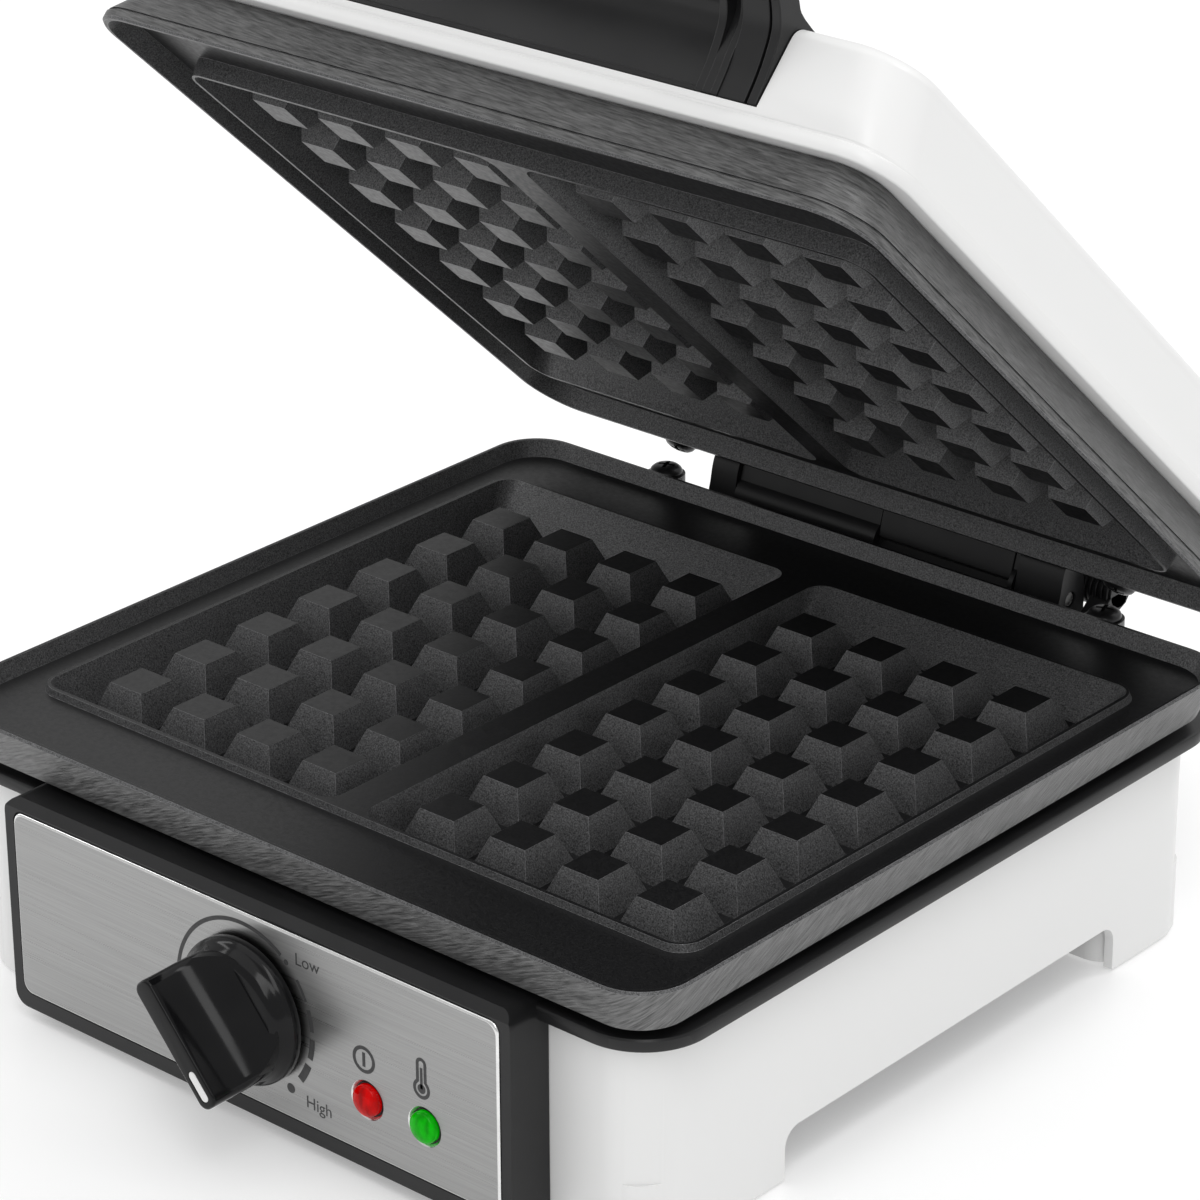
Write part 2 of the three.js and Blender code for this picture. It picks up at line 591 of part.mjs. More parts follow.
// Flanged rubber ring in the rear wall, where the supply lead goes in.
function cordGrommet() {
  const [inner, outer] = [SHELL.back - SHELL.t - GAP, SHELL.back + GAP];
  return turnedY(68, -48, [[3.6, inner - 2.5], [8, inner - 2.5], [8, inner], [5.2, inner], [5.2, outer],
    [8, outer], [7.2, outer + 3], [3.6, outer + 3], [3.6, inner - 2.5]], 24);
}

function hingePin(name) {
  const [x0, x1] = name === 'left' ? [KNUCKLES.left[0] + 0.5, -30] : [28, KNUCKLES.right[1] - 0.5];
  return rodX(HINGE.y, HINGE.z, BARREL.pinR, x0, x1);
}

// ---------------------------------------------------------------- lid, drawn closed

function lidOutline(side, front) {
  const x = LID.halfW - side;
  return outline(-x, x, LID.front + front, LID.back - side, LID.r, 7);
}

function lidShell() {
  const t = LID.t;
  const outer = loft(LID_LEVELS.map(([z, side, front]) => ({ z, points: lidOutline(side, front) })));
  const room = loft([
    { z: LID.lip + t, points: lidOutline(t + 1.3, t + 1.2) },
    { z: 38, points: lidOutline(t + 7, t + 1.2) },
    { z: 40, points: lidOutline(t + 13, t + 6) },
  ]);
  const mouth = block(-109.5, 109.5, -104, 107, LID.lip - 1, LID.lip + t + 1, 8);
  const w = HANDLE.halfW + GAP;
  const notch = box(-w, w, LID.front - 5, -92, HANDLE.bottom, 50);
  let body = cut(outer, room, mouth, notch);
  for (const [, side] of SIDES) {
    const x = side * SCREW_TAB.x;
    const boss = rodZ(x, SCREW_TAB.y, SCREW_TAB.r, SCREW_TAB.top + GAP, 27);
    const web = box(x - SCREW_TAB.r, x + SCREW_TAB.r, LID.back - 2, SCREW_TAB.y, LID.lip + 0.5, 27);
    body = cut(join(body, boss, web), rodZ(x, SCREW_TAB.y, 2, 10, 25, 12));
  }
  return body;
}

// Inner frame that the upper plate is fixed to.
function lidLiner() {
  const z = [UPPER.h + UPPER.tray + GAP, UPPER.h + UPPER.tray + 2.6];
  const frame = loft(z.map((level) => ({ z: level, points: lidOutline(LID.t + 3.4, LID.t + 3) })));
  return cut(frame, ringHole(0, 40));
}

// Recessed black panel between the handle's arms, with a lip that curls forward at the top.
function handlePanel() {
  const x = HANDLE.armIn - GAP;
  return alongX(PANEL_SECTION, -x, x);
}

// Handle: two arms that curve forward out of the lid's front to a grip bar.
function lidHandle() {
  const { halfW, armIn, gripY, gripZ } = HANDLE;
  const parts = [alongX(ARM_SECTION, -halfW, -armIn), alongX(ARM_SECTION, armIn, halfW)];
  const bar = [];
  for (let a = 0; a < 360; a += 20) {
    const angle = THREE.MathUtils.degToRad(a);
    bar.push([gripY + 8.6 * Math.cos(angle), gripZ + 6.6 * Math.sin(angle)]);
  }
  parts.push(alongX(bar, -halfW + 2, halfW - 2));
  const screws = SIDES.map(([, side]) => rodY(side * HANDLE.screwX, 28, 1.8, LID.front + 1.2, -100, 12));
  return cut(join(...parts), ...screws);
}

function handleScrew(side) {
  const x = side * HANDLE.screwX;
  const seat = -106.2;
  return join(rodY(x, 28, 3, seat, seat + 2.2, 16), rodY(x, 28, 1.4, LID.front + 1.6, seat + 0.1, 12));
}

// Strip that follows the front of the hinge hood, between two depths behind it.
function hoodStrip(near, far) {
  const front = HOOD_FRONT.map(([y, z]) => [y + near, z]);
  const rear = HOOD_FRONT.map(([y, z]) => [y + far, z]);
  return [...front, ...rear.reverse()];
}

// Hinge barrel across the back of the lid, under a hood with a recess for the cover.
function lidHinge() {
  const { x0, x1, r, boreR } = BARREL;
  // The shell's rear wall leans in, so the pad that meets it leans too.
  const pad = [[114.3, 15.2], [114.3, 19.2], [113.4, 19.6], [110.4, 30], [115, 30], [HINGE.y, 19],
    [HINGE.y + 5, 7]];
  const web = [...HOOD_FRONT, ...pad, [HINGE.y + r, HINGE.z]];
  const body = join(alongX(web, x0, x1), rodX(HINGE.y, HINGE.z, r, x0, x1, 32));
  const recess = alongX(hoodStrip(-3, COVER.t), COVER.x0, COVER.x1);
  const below = box(COVER.x0, COVER.x1, 118, HOOD_FRONT[0][0] + COVER.t, -12, HOOD_FRONT[0][1] + 0.01);
  const { y, z } = HINGE;
  const bores = [rodX(y, z, boreR, x0 - 1, -28, 20), rodX(y, z, boreR, 26, x1 + 1, 20)];
  return cut(body, recess, below, ...bores);
}

// Clip-in strip over the front of the hinge.
function hingeCover() {
  return alongX(hoodStrip(-COVER.proud, COVER.t - GAP), COVER.x0 + GAP, COVER.x1 - GAP);
}

// ---------------------------------------------------------------- assembly

const part = new THREE.Group();
const base = new THREE.Group();
base.position.set(0, -ORIGIN_Y, CLOSE_Z);
part.add(base);

add(base, 'base_shell', WHITE, baseShell());
add(base, 'base_frame', BLACK, baseFrame());
add(base, 'bottom_cover', BLACK, bottomCover());
add(base, 'control_fascia', BRUSHED, fascia());
add(base, 'lower_plate', COATED, lowerPlate());
add(base, 'lower_heater', STEEL, heater());
add(base, 'lower_reflector', SHEET, reflector());
add(base, 'thermostat', STEEL, thermostat());
add(base, 'thermostat_shaft', STEEL, shaft());
add(base, 'knob', GLOSS_BLACK, knob());
add(base, 'knob_pointer', WHITE, knobPointer());
add(base, 'red_lens', RED, lens(LAMP.xs[0]));
add(base, 'green_lens', GREEN, lens(LAMP.xs[1]));
add(base, 'red_lamp_holder', CERAMIC, lampHolder(LAMP.xs[0]));
add(base, 'green_lamp_holder', CERAMIC, lampHolder(LAMP.xs[1]));
add(base, 'terminal_block', CERAMIC, block(32, 62, 40, 56, -58.4, -45, 2));
add(base, 'thermal_fuse', STEEL, rodX(30, -38, 3, -12, 12));
add(base, 'cord_grommet', RUBBER, cordGrommet());
add(base, 'lead_guard', BLACK, leadGuard());
for (const [name, side] of SIDES) {
  for (const place of ['front', 'rear']) {
    add(base, `foot_pad_${place}_${name}`, RUBBER, footPad(side, padY(place)));
    add(base, `cover_screw_${place}_${name}`, STEEL, coverScrew(side, place === 'front' ? -30 : 50));
  }
  add(base, `lower_plate_screw_${name}`, STEEL, tabScrew(side));
  add(base, `hinge_pin_${name}`, STEEL, hingePin(name));
}

// The lid turns about the hinge axis; its pieces are drawn closed.
const lid = new THREE.Group();
lid.position.set(0, HINGE.y, HINGE.z);
lid.rotation.x = -THREE.MathUtils.degToRad(LID_ANGLE);
base.add(lid);
const lidParts = new THREE.Group();
lidParts.position.set(0, -HINGE.y, -HINGE.z);
lid.add(lidParts);

add(lidParts, 'lid_shell', WHITE, lidShell());
add(lidParts, 'lid_liner', BLACK, lidLiner());
add(lidParts, 'upper_plate', COATED, upperPlate());
add(lidParts, 'upper_heater', STEEL, mirrorZ(heater().translate(0, 0, LOWER.h - UPPER.h)));
const upperReflector = geometryOf(reflector()).translate(0, 0, LOWER.h - UPPER.h);
add(lidParts, 'upper_reflector', SHEET, mirrorZ(upperReflector));
add(lidParts, 'handle_panel', BLACK, handlePanel());
add(lidParts, 'lid_handle', BLACK, lidHandle());
add(lidParts, 'lid_hinge', BLACK, lidHinge());
add(lidParts, 'hinge_cover', BLACK, hingeCover());
for (const [name, side] of SIDES) {
  add(lidParts, `upper_plate_screw_${name}`, STEEL, mirrorZ(tabScrew(side)));
  add(lidParts, `handle_screw_${name}`, STEEL, handleScrew(side));
}

export default part;
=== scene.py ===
"""Looks of a two-slice waffle maker: white shell, black mouldings, cast grid plates, brushed panel.

Shapes are made in millimetres from the centre of the cooking plates, with z = 0 where the plates
close. BASE and LID_TURN carry them to the frame: the lid's pieces are drawn closed, then turned open.
"""
import json
import math

import bmesh
import bpy
from mathutils import Matrix, Vector


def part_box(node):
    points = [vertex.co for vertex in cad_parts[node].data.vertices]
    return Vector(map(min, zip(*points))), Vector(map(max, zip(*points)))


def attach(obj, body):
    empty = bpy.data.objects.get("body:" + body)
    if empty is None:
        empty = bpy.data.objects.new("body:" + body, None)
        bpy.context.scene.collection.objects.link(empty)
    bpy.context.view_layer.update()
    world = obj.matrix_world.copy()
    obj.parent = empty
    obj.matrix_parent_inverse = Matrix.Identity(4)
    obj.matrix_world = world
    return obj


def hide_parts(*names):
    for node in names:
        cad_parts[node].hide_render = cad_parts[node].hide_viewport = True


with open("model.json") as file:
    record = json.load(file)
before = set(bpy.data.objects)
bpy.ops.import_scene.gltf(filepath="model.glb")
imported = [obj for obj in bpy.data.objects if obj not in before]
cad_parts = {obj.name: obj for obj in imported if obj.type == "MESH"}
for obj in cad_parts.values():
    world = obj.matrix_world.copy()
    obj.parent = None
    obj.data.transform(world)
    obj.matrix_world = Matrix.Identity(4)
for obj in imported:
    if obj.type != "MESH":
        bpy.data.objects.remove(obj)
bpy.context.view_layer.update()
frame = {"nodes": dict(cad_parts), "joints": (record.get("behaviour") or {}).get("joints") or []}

# ---------------------------------------------------------------- places taken from the frame

MM = 0.001
JOINTS = {joint["name"]: joint for joint in frame["joints"]}
PLATE_LOW, PLATE_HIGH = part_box("lower_plate")
PLATE_W = 240.0
PLATE_D = 230.6
LID_ANGLE = math.radians(42.5)
AXIS = Vector(JOINTS["lid_hinge_turn"]["pos_m"])
BASE = Matrix.Translation((0, PLATE_LOW.y + PLATE_D / 2 * MM, PLATE_HIGH.z)) @ Matrix.Scale(MM, 4)
OPENED = Matrix.Translation(AXIS) @ Matrix.Rotation(-LID_ANGLE, 4, "X") @ Matrix.Translation(-AXIS)
LID_TURN = OPENED @ BASE
HINGE = BASE.inverted() @ AXIS
DIAL = BASE.inverted() @ Vector(JOINTS["thermostat_turn"]["pos_m"])
PANEL_Y = DIAL.y
GAP = 0.3

# ---------------------------------------------------------------- outlines


def rounded(x0, x1, y0, y1, r, steps=10):
    """Rounded rectangle, anticlockwise, with the same number of points at any size."""
    corners = [(x1 - r, y0 + r, -90), (x1 - r, y1 - r, 0), (x0 + r, y1 - r, 90), (x0 + r, y0 + r, 180)]
    points = []
    for cx, cy, start in corners:
        for i in range(steps + 1):
            a = math.radians(start + 90 * i / steps)
            points.append((cx + r * math.cos(a), cy + r * math.sin(a)))
    return points


def arc(cx, cy, r, start, end, steps, squash=1.0):
    """Points along part of a circle or, with squash, of an ellipse."""
    points = []
    for i in range(steps + 1):
        a = math.radians(start + (end - start) * i / steps)
        points.append((cx + r * math.cos(a), cy + r * squash * math.sin(a)))
    return points


def smoothed(points, parts=4):
    """Open outline with points added along a smooth curve through the given ones."""
    ends = [points[0]] + list(points) + [points[-1]]
    made = []
    for i in range(1, len(ends) - 2):
        p0, p1, p2, p3 = (Vector(p) for p in ends[i - 1:i + 3])
        for k in range(parts):
            t = k / parts
            a = -0.5 * t + t * t - 0.5 * t ** 3
            b = 1 - 2.5 * t * t + 1.5 * t ** 3
            c = 0.5 * t + 2 * t * t - 1.5 * t ** 3
            d = -0.5 * t * t + 0.5 * t ** 3
            made.append(tuple(p0 * a + p1 * b + p2 * c + p3 * d))
    made.append(tuple(points[-1]))
    return made


# ---------------------------------------------------------------- shapes, in millimetres


def to_object(bm, name="shape"):
    bmesh.ops.recalc_face_normals(bm, faces=bm.faces)
    mesh = bpy.data.meshes.new(name)
    bm.to_mesh(mesh)
    bm.free()
    made = bpy.data.objects.new(name, mesh)
    bpy.context.scene.collection.objects.link(made)
    return made


def stack(levels, swap=None):
    """Closed solid through outlines (height, points); swap gives a point's axes another order."""
    bm = bmesh.new()
    place = swap or (lambda x, y, z: (x, y, z))
    rings = [[bm.verts.new(place(x, y, z)) for x, y in points] for z, points in levels]
    count = len(rings[0])
    for low, high in zip(rings, rings[1:]):
        for i in range(count):
            j = (i + 1) % count
            bm.faces.new((low[i], low[j], high[j], high[i]))
    bm.faces.new(rings[0])
    bm.faces.new(rings[-1])
    return to_object(bm)


def block(x0, x1, y0, y1, z0, z1, r=0.01, steps=10):
    points = rounded(x0, x1, y0, y1, r, steps if r > 0.1 else 1)
    return stack([(z0, points), (z1, points)])


def along_x(points, x0, x1):
    """Prism along X of an outline in the YZ plane."""
    return stack([(x0, points), (x1, points)], lambda y, z, x: (x, y, z))


def facing_front(levels):
    """Solid through (depth, XZ outline) levels."""
    return stack(levels, lambda x, z, y: (x, y, z))


def rod_x(y, z, r, x0, x1, sides=48):
    return along_x(arc(y, z, r, 0, 360 - 360 / sides, sides - 1), x0, x1)


def rod_y(x, z, r, y0, y1, sides=48):
    points = arc(x, z, r, 0, 360 - 360 / sides, sides - 1)
    return facing_front([(y0, points), (y1, points)])


def rod_z(x, y, r, z0, z1, sides=48):
    points = arc(x, y, r, 0, 360 - 360 / sides, sides - 1)
    return stack([(z0, points), (z1, points)])


def turned(profile, sides=96):
    """Solid of revolution about Z; the profile is (radius, height) and ends on the axis."""
    rings = [(max(r, 0.004), z) for r, z in profile]
    return stack([(z, arc(0, 0, r, 0, 360 - 360 / sides, sides - 1)) for r, z in rings])


def moved(shape, matrix):
    shape.data.transform(matrix)
    return shape


def combine(kind, shape, others):
    """Boolean of a shape with others, which are used up."""
    for other in others:
        modifier = shape.modifiers.new("combine", "BOOLEAN")
        modifier.operation = kind
        modifier.solver = "EXACT"
        modifier.object = other
        bpy.context.view_layer.update()
        graph = bpy.context.evaluated_depsgraph_get()
        result = bpy.data.meshes.new_from_object(shape.evaluated_get(graph))
        shape.modifiers.clear()
        shape.data = result
        bpy.data.objects.remove(other)
    return shape


def cut(shape, *others):
    return combine("DIFFERENCE", shape, others)


def join(shape, *others):
    return combine("UNION", shape, others)


def gather(*shapes):
    """One object of several shapes that overlap, without cutting them."""
    bm = bmesh.new()
    for shape in shapes:
        bm.from_mesh(shape.data)
        bpy.data.objects.remove(shape)
    return to_object(bm)


# ---------------------------------------------------------------- materials


class Finish:
    """A procedural material made round one Principled shader."""

    def __init__(self, name, color, roughness, metallic=0.0, **settings):
        self.material = bpy.data.materials.new(name)
        self.material.use_nodes = True
        self.tree = self.material.node_tree
        self.shader = self.tree.nodes["Principled BSDF"]
        self.color = (*color, 1)
        self.shader.inputs["Base Color"].default_value = self.color
        self.shader.inputs["Roughness"].default_value = roughness
        self.shader.inputs["Metallic"].default_value = metallic
        for key, value in settings.items():
            self.shader.inputs[key.replace("_", " ")].default_value = value
        self.place = self.tree.nodes.new("ShaderNodeTexCoord").outputs["Object"]
        self.height = None

    def node(self, kind, **values):
        made = self.tree.nodes.new(kind)
        for key, value in values.items():
            made.inputs[key].default_value = value
        return made

    def link(self, a, b):
        self.tree.links.new(a, b)

    def noise(self, scale, detail=3.0, stretch=(1, 1, 1), turn=(0, 0, 0)):
        """Noise that is turned first, then made finer by stretch along each axis."""
        mapping = self.node("ShaderNodeMapping", Scale=tuple(1 / s for s in stretch), Rotation=turn)
        mapping.vector_type = "TEXTURE"
        self.link(self.place, mapping.inputs["Vector"])
        made = self.node("ShaderNodeTexNoise", Scale=scale, Detail=detail)
        self.link(mapping.outputs["Vector"], made.inputs["Vector"])
        return made.outputs["Fac"]

    def spread(self, value, low, high, near=0.3, far=0.7):
        """A value between near and far turned into one between low and high."""
        made = self.node("ShaderNodeMapRange")
        made.inputs["From Min"].default_value = near
        made.inputs["From Max"].default_value = far
        made.inputs["To Min"].default_value = low
        made.inputs["To Max"].default_value = high
        self.link(value, made.inputs["Value"])
        return made.outputs["Result"]

    def roughen(self, value, low, high):
        self.link(self.spread(value, low, high), self.shader.inputs["Roughness"])

    def tint(self, value, dark, light):
        mix = self.tree.nodes.new("ShaderNodeMix")
        mix.data_type = "RGBA"
        mix.inputs[6].default_value = (*dark, 1)
        mix.inputs[7].default_value = (*light, 1)
        self.link(self.spread(value, 0, 1), mix.inputs["Factor"])
        self.link(mix.outputs[2], self.shader.inputs["Base Color"])

    def emboss(self, value, depth, strength=1.0):
        bump = self.node("ShaderNodeBump", Strength=strength, Distance=depth)
        self.link(value, bump.inputs["Height"])
        if self.height is not None:
            self.link(self.height, bump.inputs["Normal"])
        self.height = bump.outputs["Normal"]
        self.link(self.height, self.shader.inputs["Normal"])


def white_plastic():
    look = Finish("white_shell_plastic", (0.78, 0.78, 0.776), 0.3, Specular_IOR_Level=0.4)
    look.roughen(look.noise(40, 2), 0.28, 0.32)
    look.tint(look.noise(14, 1), (0.782, 0.782, 0.778), (0.79, 0.79, 0.786))
    look.emboss(look.noise(1400, 1), 0.000004, 0.3)
    return look.material


def black_plastic():
    look = Finish("black_satin_plastic", (0.009, 0.009, 0.0095), 0.36, Specular_IOR_Level=0.32)
    look.roughen(look.noise(60, 4), 0.3, 0.42)
    look.tint(look.noise(25, 3), (0.007, 0.007, 0.0075), (0.012, 0.012, 0.0125))
    look.emboss(look.noise(2600, 3), 0.00003, 0.5)
    return look.material


def gloss_black():
    look = Finish("polished_black_plastic", (0.004, 0.004, 0.0045), 0.12, Specular_IOR_Level=0.2)
    look.roughen(look.noise(140, 5), 0.09, 0.16)
    look.tint(look.noise(60, 2), (0.003, 0.003, 0.0035), (0.006, 0.006, 0.0065))
    look.emboss(look.noise(1500, 2), 0.00001, 0.3)
    return look.material


def plate_coating():
    """Non-stick coating: dark, with the fine grain of a sprayed film over cast metal."""
    look = Finish("non_stick_coating", (0.04, 0.04, 0.041), 0.42, 0.35)
    grain = look.noise(2600, 5)
    look.tint(grain, (0.015, 0.015, 0.0155), (0.14, 0.14, 0.143))
    look.roughen(look.noise(1500, 3), 0.34, 0.52)
    look.emboss(grain, 0.00012, 0.7)
    look.emboss(look.noise(260, 3), 0.00008, 0.3)
    return look.material


def plate_land_painted_shade():
    """The same coating on faces that lie flat: smoother, and painted nearly black as shade."""
    look = Finish("non_stick_flat_painted_shade", (0.008, 0.008, 0.0085), 0.34, Specular_IOR_Level=0.3)
    look.tint(look.noise(1800, 4), (0.005, 0.005, 0.0055), (0.014, 0.014, 0.0145))
    look.roughen(look.noise(700, 3), 0.28, 0.4)
    look.emboss(look.noise(2400, 3), 0.00004, 0.4)
    return look.material


def machined_side(name, turn, light):
    """Ground side of a plate: short scratches that all lean one way."""
    look = Finish(name, (light, light, light * 1.01), 0.42, 0.4, Specular_IOR_Level=0.35)
    scratches = look.noise(190, 3, (1.0, 1.0, 11), turn)
    look.tint(scratches, (light * 0.45,) * 3, (light * 1.6,) * 3)
    look.roughen(scratches, 0.32, 0.52)
    look.emboss(scratches, 0.00022, 0.9)
    look.emboss(look.noise(2400, 4), 0.00008, 0.5)
    return look.material


def worn_and_highlight_edge():
    # Brighter metal on every bevelled plate edge: partly worn coating, partly a painted highlight along the
    # edges.
    look = Finish("plate_edge_wear_and_highlight", (0.2, 0.2, 0.205), 0.32, 0.8)
    look.tint(look.noise(900, 4), (0.11, 0.11, 0.114), (0.3, 0.3, 0.305))
    look.roughen(look.noise(400, 3), 0.28, 0.45)
    return look.material


def brushed_metal():
    look = Finish("brushed_panel_metal", (0.39, 0.39, 0.388), 0.3, 1.0, Anisotropic=0.5)
    streaks = look.noise(3600, 2, (0.008, 1, 1))
    look.tint(streaks, (0.32, 0.32, 0.318), (0.38, 0.38, 0.378))
    look.roughen(streaks, 0.27, 0.32)
    look.emboss(streaks, 0.000004, 0.3)
    return look.material


def rolled_edge_highlight():
    # Much lighter copy of the panel steel for the rolled edge and lamp-hole chamfers: painted highlight;
    # the lower roughness is the edge's smoother finish.
    look = Finish("panel_rolled_edge_highlight", (0.78, 0.78, 0.775), 0.16, 1.0)
    look.roughen(look.noise(900, 2), 0.13, 0.2)
    look.tint(look.noise(300, 2), (0.72, 0.72, 0.715), (0.82, 0.82, 0.815))
    return look.material


def plated_steel():
    look = Finish("plated_steel", (0.6, 0.6, 0.59), 0.25, 1.0)
    look.roughen(look.noise(300, 4), 0.18, 0.36)
    look.tint(look.noise(120, 3), (0.5, 0.5, 0.49), (0.64, 0.64, 0.635))
    look.emboss(look.noise(1200, 2), 0.00002, 0.3)
    return look.material


def blackened_steel():
    look = Finish("blackened_steel", (0.03, 0.03, 0.031), 0.34, 0.7)
    look.roughen(look.noise(500, 3), 0.28, 0.44)
    look.tint(look.noise(300, 3), (0.022, 0.022, 0.023), (0.045, 0.045, 0.046))
    look.emboss(look.noise(1800, 3), 0.00003, 0.4)
    return look.material


def pressed_sheet():
    look = Finish("pressed_sheet", (0.55, 0.56, 0.57), 0.4, 1.0)
    rolled = look.noise(240, 5, (0.08, 1, 1))
    look.tint(rolled, (0.48, 0.49, 0.5), (0.6, 0.61, 0.62))
    look.roughen(rolled, 0.34, 0.48)
    look.emboss(look.noise(60, 2), 0.0001, 0.3)
    return look.material


def rubber():
    look = Finish("rubber", (0.018, 0.018, 0.018), 0.8)
    look.roughen(look.noise(200, 3), 0.72, 0.9)
    look.tint(look.noise(80, 3), (0.014, 0.014, 0.014), (0.028, 0.028, 0.027))
    look.emboss(look.noise(1600, 4), 0.0001, 0.5)
    return look.material


def ceramic():
    look = Finish("insulator_ceramic", (0.72, 0.7, 0.64), 0.55)
    look.tint(look.noise(60, 4), (0.66, 0.64, 0.57), (0.76, 0.74, 0.69))
    look.roughen(look.noise(150, 3), 0.45, 0.65)
    look.emboss(look.noise(900, 4), 0.00005, 0.5)
    return look.material


def panel_ink():
    look = Finish("panel_ink", (0.03, 0.03, 0.031), 0.5)
    look.tint(look.noise(1500, 3), (0.026, 0.026, 0.027), (0.04, 0.04, 0.041))
    look.roughen(look.noise(900, 3), 0.45, 0.6)
    return look.material


def lamp_lens(name, color, glow):
    """Moulded lens lit from behind, with fine ribs under its skin."""
    look = Finish(name, color, 0.1, Emission_Strength=glow, Specular_IOR_Level=0.12)
    look.shader.inputs["Emission Color"].default_value = (*color, 1)
    ribs = look.noise(500, 3, (1, 1, 0.4))
    look.tint(ribs, tuple(c * 0.35 for c in color), tuple(c * 1.3 for c in color))
    look.roughen(look.noise(800, 2), 0.1, 0.2)
    look.emboss(look.noise(420, 2), 0.00005, 0.3)
    return look.material


WHITE = white_plastic()
BLACK = black_plastic()
GLOSS = gloss_black()
COATING = plate_coating()
# darker copy of the coating for faces that lie flat: painted shade
FLAT_PAINTED_SHADE = plate_land_painted_shade()
LOWER_SIDE = machined_side("ground_side_lower", (math.radians(32), math.radians(-30), 0), 0.13)
# the lid plate's ground sides are a darker copy of the lower plate's (0.1 against 0.13): painted shade
UPPER_SIDE = machined_side("ground_side_upper_painted_shade", (-LID_ANGLE, math.radians(6), 0), 0.1)
EDGE_WEAR_AND_HIGHLIGHT = worn_and_highlight_edge()
BRUSHED = brushed_metal()
EDGE_HIGHLIGHT = rolled_edge_highlight()
STEEL = plated_steel()
DARK_STEEL = blackened_steel()
SHEET = pressed_sheet()
RUBBER = rubber()
CERAMIC = ceramic()
INK = panel_ink()
RED = lamp_lens("red_lamp_lens", (0.42, 0.0, 0.0), 0.35)
GREEN = lamp_lens("green_lamp_lens", (0.0, 0.32, 0.0), 0.35)

# ---------------------------------------------------------------- pieces


def soften(piece, width, angle=32, segments=3, edge_slot=-1):
    """Smooth faces with sharp edges kept, and a rounded bevel (millimetres) on those edges."""
    for polygon in piece.data.polygons:
        polygon.use_smooth = True
    piece.data.set_sharp_from_angle(angle=math.radians(angle))
    if width:
        bevel = piece.modifiers.new("edges", "BEVEL")
        bevel.width = width * MM
        bevel.segments = segments
        bevel.limit_method = "ANGLE"
        bevel.angle_limit = math.radians(angle)
        bevel.harden_normals = True
        bevel.material = edge_slot


def piece(name, shape, body, materials, slot, replaced=(), width=0.4, angle=32, segments=3, edge_slot=-1):
    """Puts a finished shape on a body: names it, carries it to the frame and gives it its looks."""
    shape.name = name
    shape.data.name = name
    if not isinstance(materials, (list, tuple)):
        materials = [materials]
    while len(shape.data.materials) < len(materials):
        shape.data.materials.append(None)
    for i, material in enumerate(materials):
        shape.data.materials[i] = material
    shape.data.transform(LID_TURN if body == "lid" else BASE)
    soften(shape, width, angle, segments, edge_slot)
    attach(shape, body)
    if replaced:
        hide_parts(*replaced)
    return shape


def paint(shape, rule):
    """Sets each face's material number from its middle and normal, in the shape's millimetres."""
    for polygon in shape.data.polygons:
        polygon.material_index = rule(polygon.center, polygon.normal)


# ---------------------------------------------------------------- cooking plates

RIM = 1.2
RIDGE = {"half": 107.5, "front": -88.0, "back": 91.0, "r": 7.0, "top": 1.6, "divider": 5.0}
PEG = {"pitch": 22.65, "tip": 11.0, "base": 18.6, "first": 19.5, "middle": -1.5, "cols": 4, "rows": 7}
TAB = {"x": 74.5, "y": 121.0, "r": 5.4, "face": 2.8, "top": 12.0}
LOWER = {"h": 12.0, "land": 4.3, "ridge": 2.5, "floor": 11.5, "tip": 2.5, "tray": 3.0}
UPPER = {"h": 14.5, "land": 5.4, "ridge": 0.6, "floor": 12.5, "tip": 2.5, "tray": 3.0}
RIM_TOP = -0.12
LOWER_SIDES = [(3.7, -12.0), (0.0, -0.7), (0.6, RIM_TOP)]
UPPER_SIDES = [(7.0, -14.5), (0.3, -3.3), (0.8, -3.25), (0.8, -2.65), (0.0, -2.6), (0.0, -0.7),
               (0.6, RIM_TOP)]


def plate_outline(inset):
    x = PLATE_W / 2 - inset
    y = PLATE_D / 2 - inset
    return rounded(-x, x, -y, y, max(14 - inset / 2, 3), 12)


def plate_body(kind, sides):
    """The plate without its pegs, as one skin: side, rim, land, ridge and the two cooking fields."""
    bm = bmesh.new()

    def ring(points, z):
        return [bm.verts.new((x, y, z)) for x, y in points]

    def wall(low, high):
        for i in range(len(low)):
            j = (i + 1) % len(low)
            bm.faces.new((low[i], low[j], high[j], high[i]))

    def fill(*rings):
        edges = []
        for points in rings:
            for i, vert in enumerate(points):
                pair = (vert, points[(i + 1) % len(points)])
                edges.append(bm.edges.get(pair) or bm.edges.new(pair))
        bmesh.ops.triangle_fill(bm, edges=edges, use_beauty=True)

    tray = rounded(-109, 109, RIDGE["front"] - 2, RIDGE["back"] + 2, RIDGE["r"], 12)
    land_inset = RIM + 2.6
    chain = [ring(tray, -kind["h"] - kind["tray"]), ring(tray, -kind["h"])]
    chain += [ring(plate_outline(inset), z) for inset, z in sides]
    chain += [ring(plate_outline(1.5), RIM_TOP), ring(plate_outline(land_inset), -kind["land"])]
    for low, high in zip(chain, chain[1:]):
        wall(low, high)
    fill(chain[0])
    half, front, back = RIDGE["half"], RIDGE["front"], RIDGE["back"]
    foot = ring(rounded(-half, half, front, back, RIDGE["r"], 12), -kind["land"])
    top = ring(rounded(-half + 0.5, half - 0.5, front + 0.5, back - 0.5, RIDGE["r"], 12), -kind["ridge"])
    fill(chain[-1], foot)
    wall(foot, top)
    mouths = []
    for side in (-1, 1):
        inner, outer = RIDGE["divider"], half - RIDGE["top"]
        y0, y1 = front + RIDGE["top"], back - RIDGE["top"]
        xs = sorted((side * inner, side * outer))
        feet = sorted((side * (inner + 3), side * (outer - 5)))
        mouth = ring(rounded(*xs, y0, y1, 5, 10), -kind["ridge"])
        floor = ring(rounded(*feet, y0 + 5, y1 - 10, 3, 10), -kind["floor"])
        wall(mouth, floor)
        fill(floor)
        mouths.append(mouth)
    fill(top, *mouths)
    return to_object(bm)


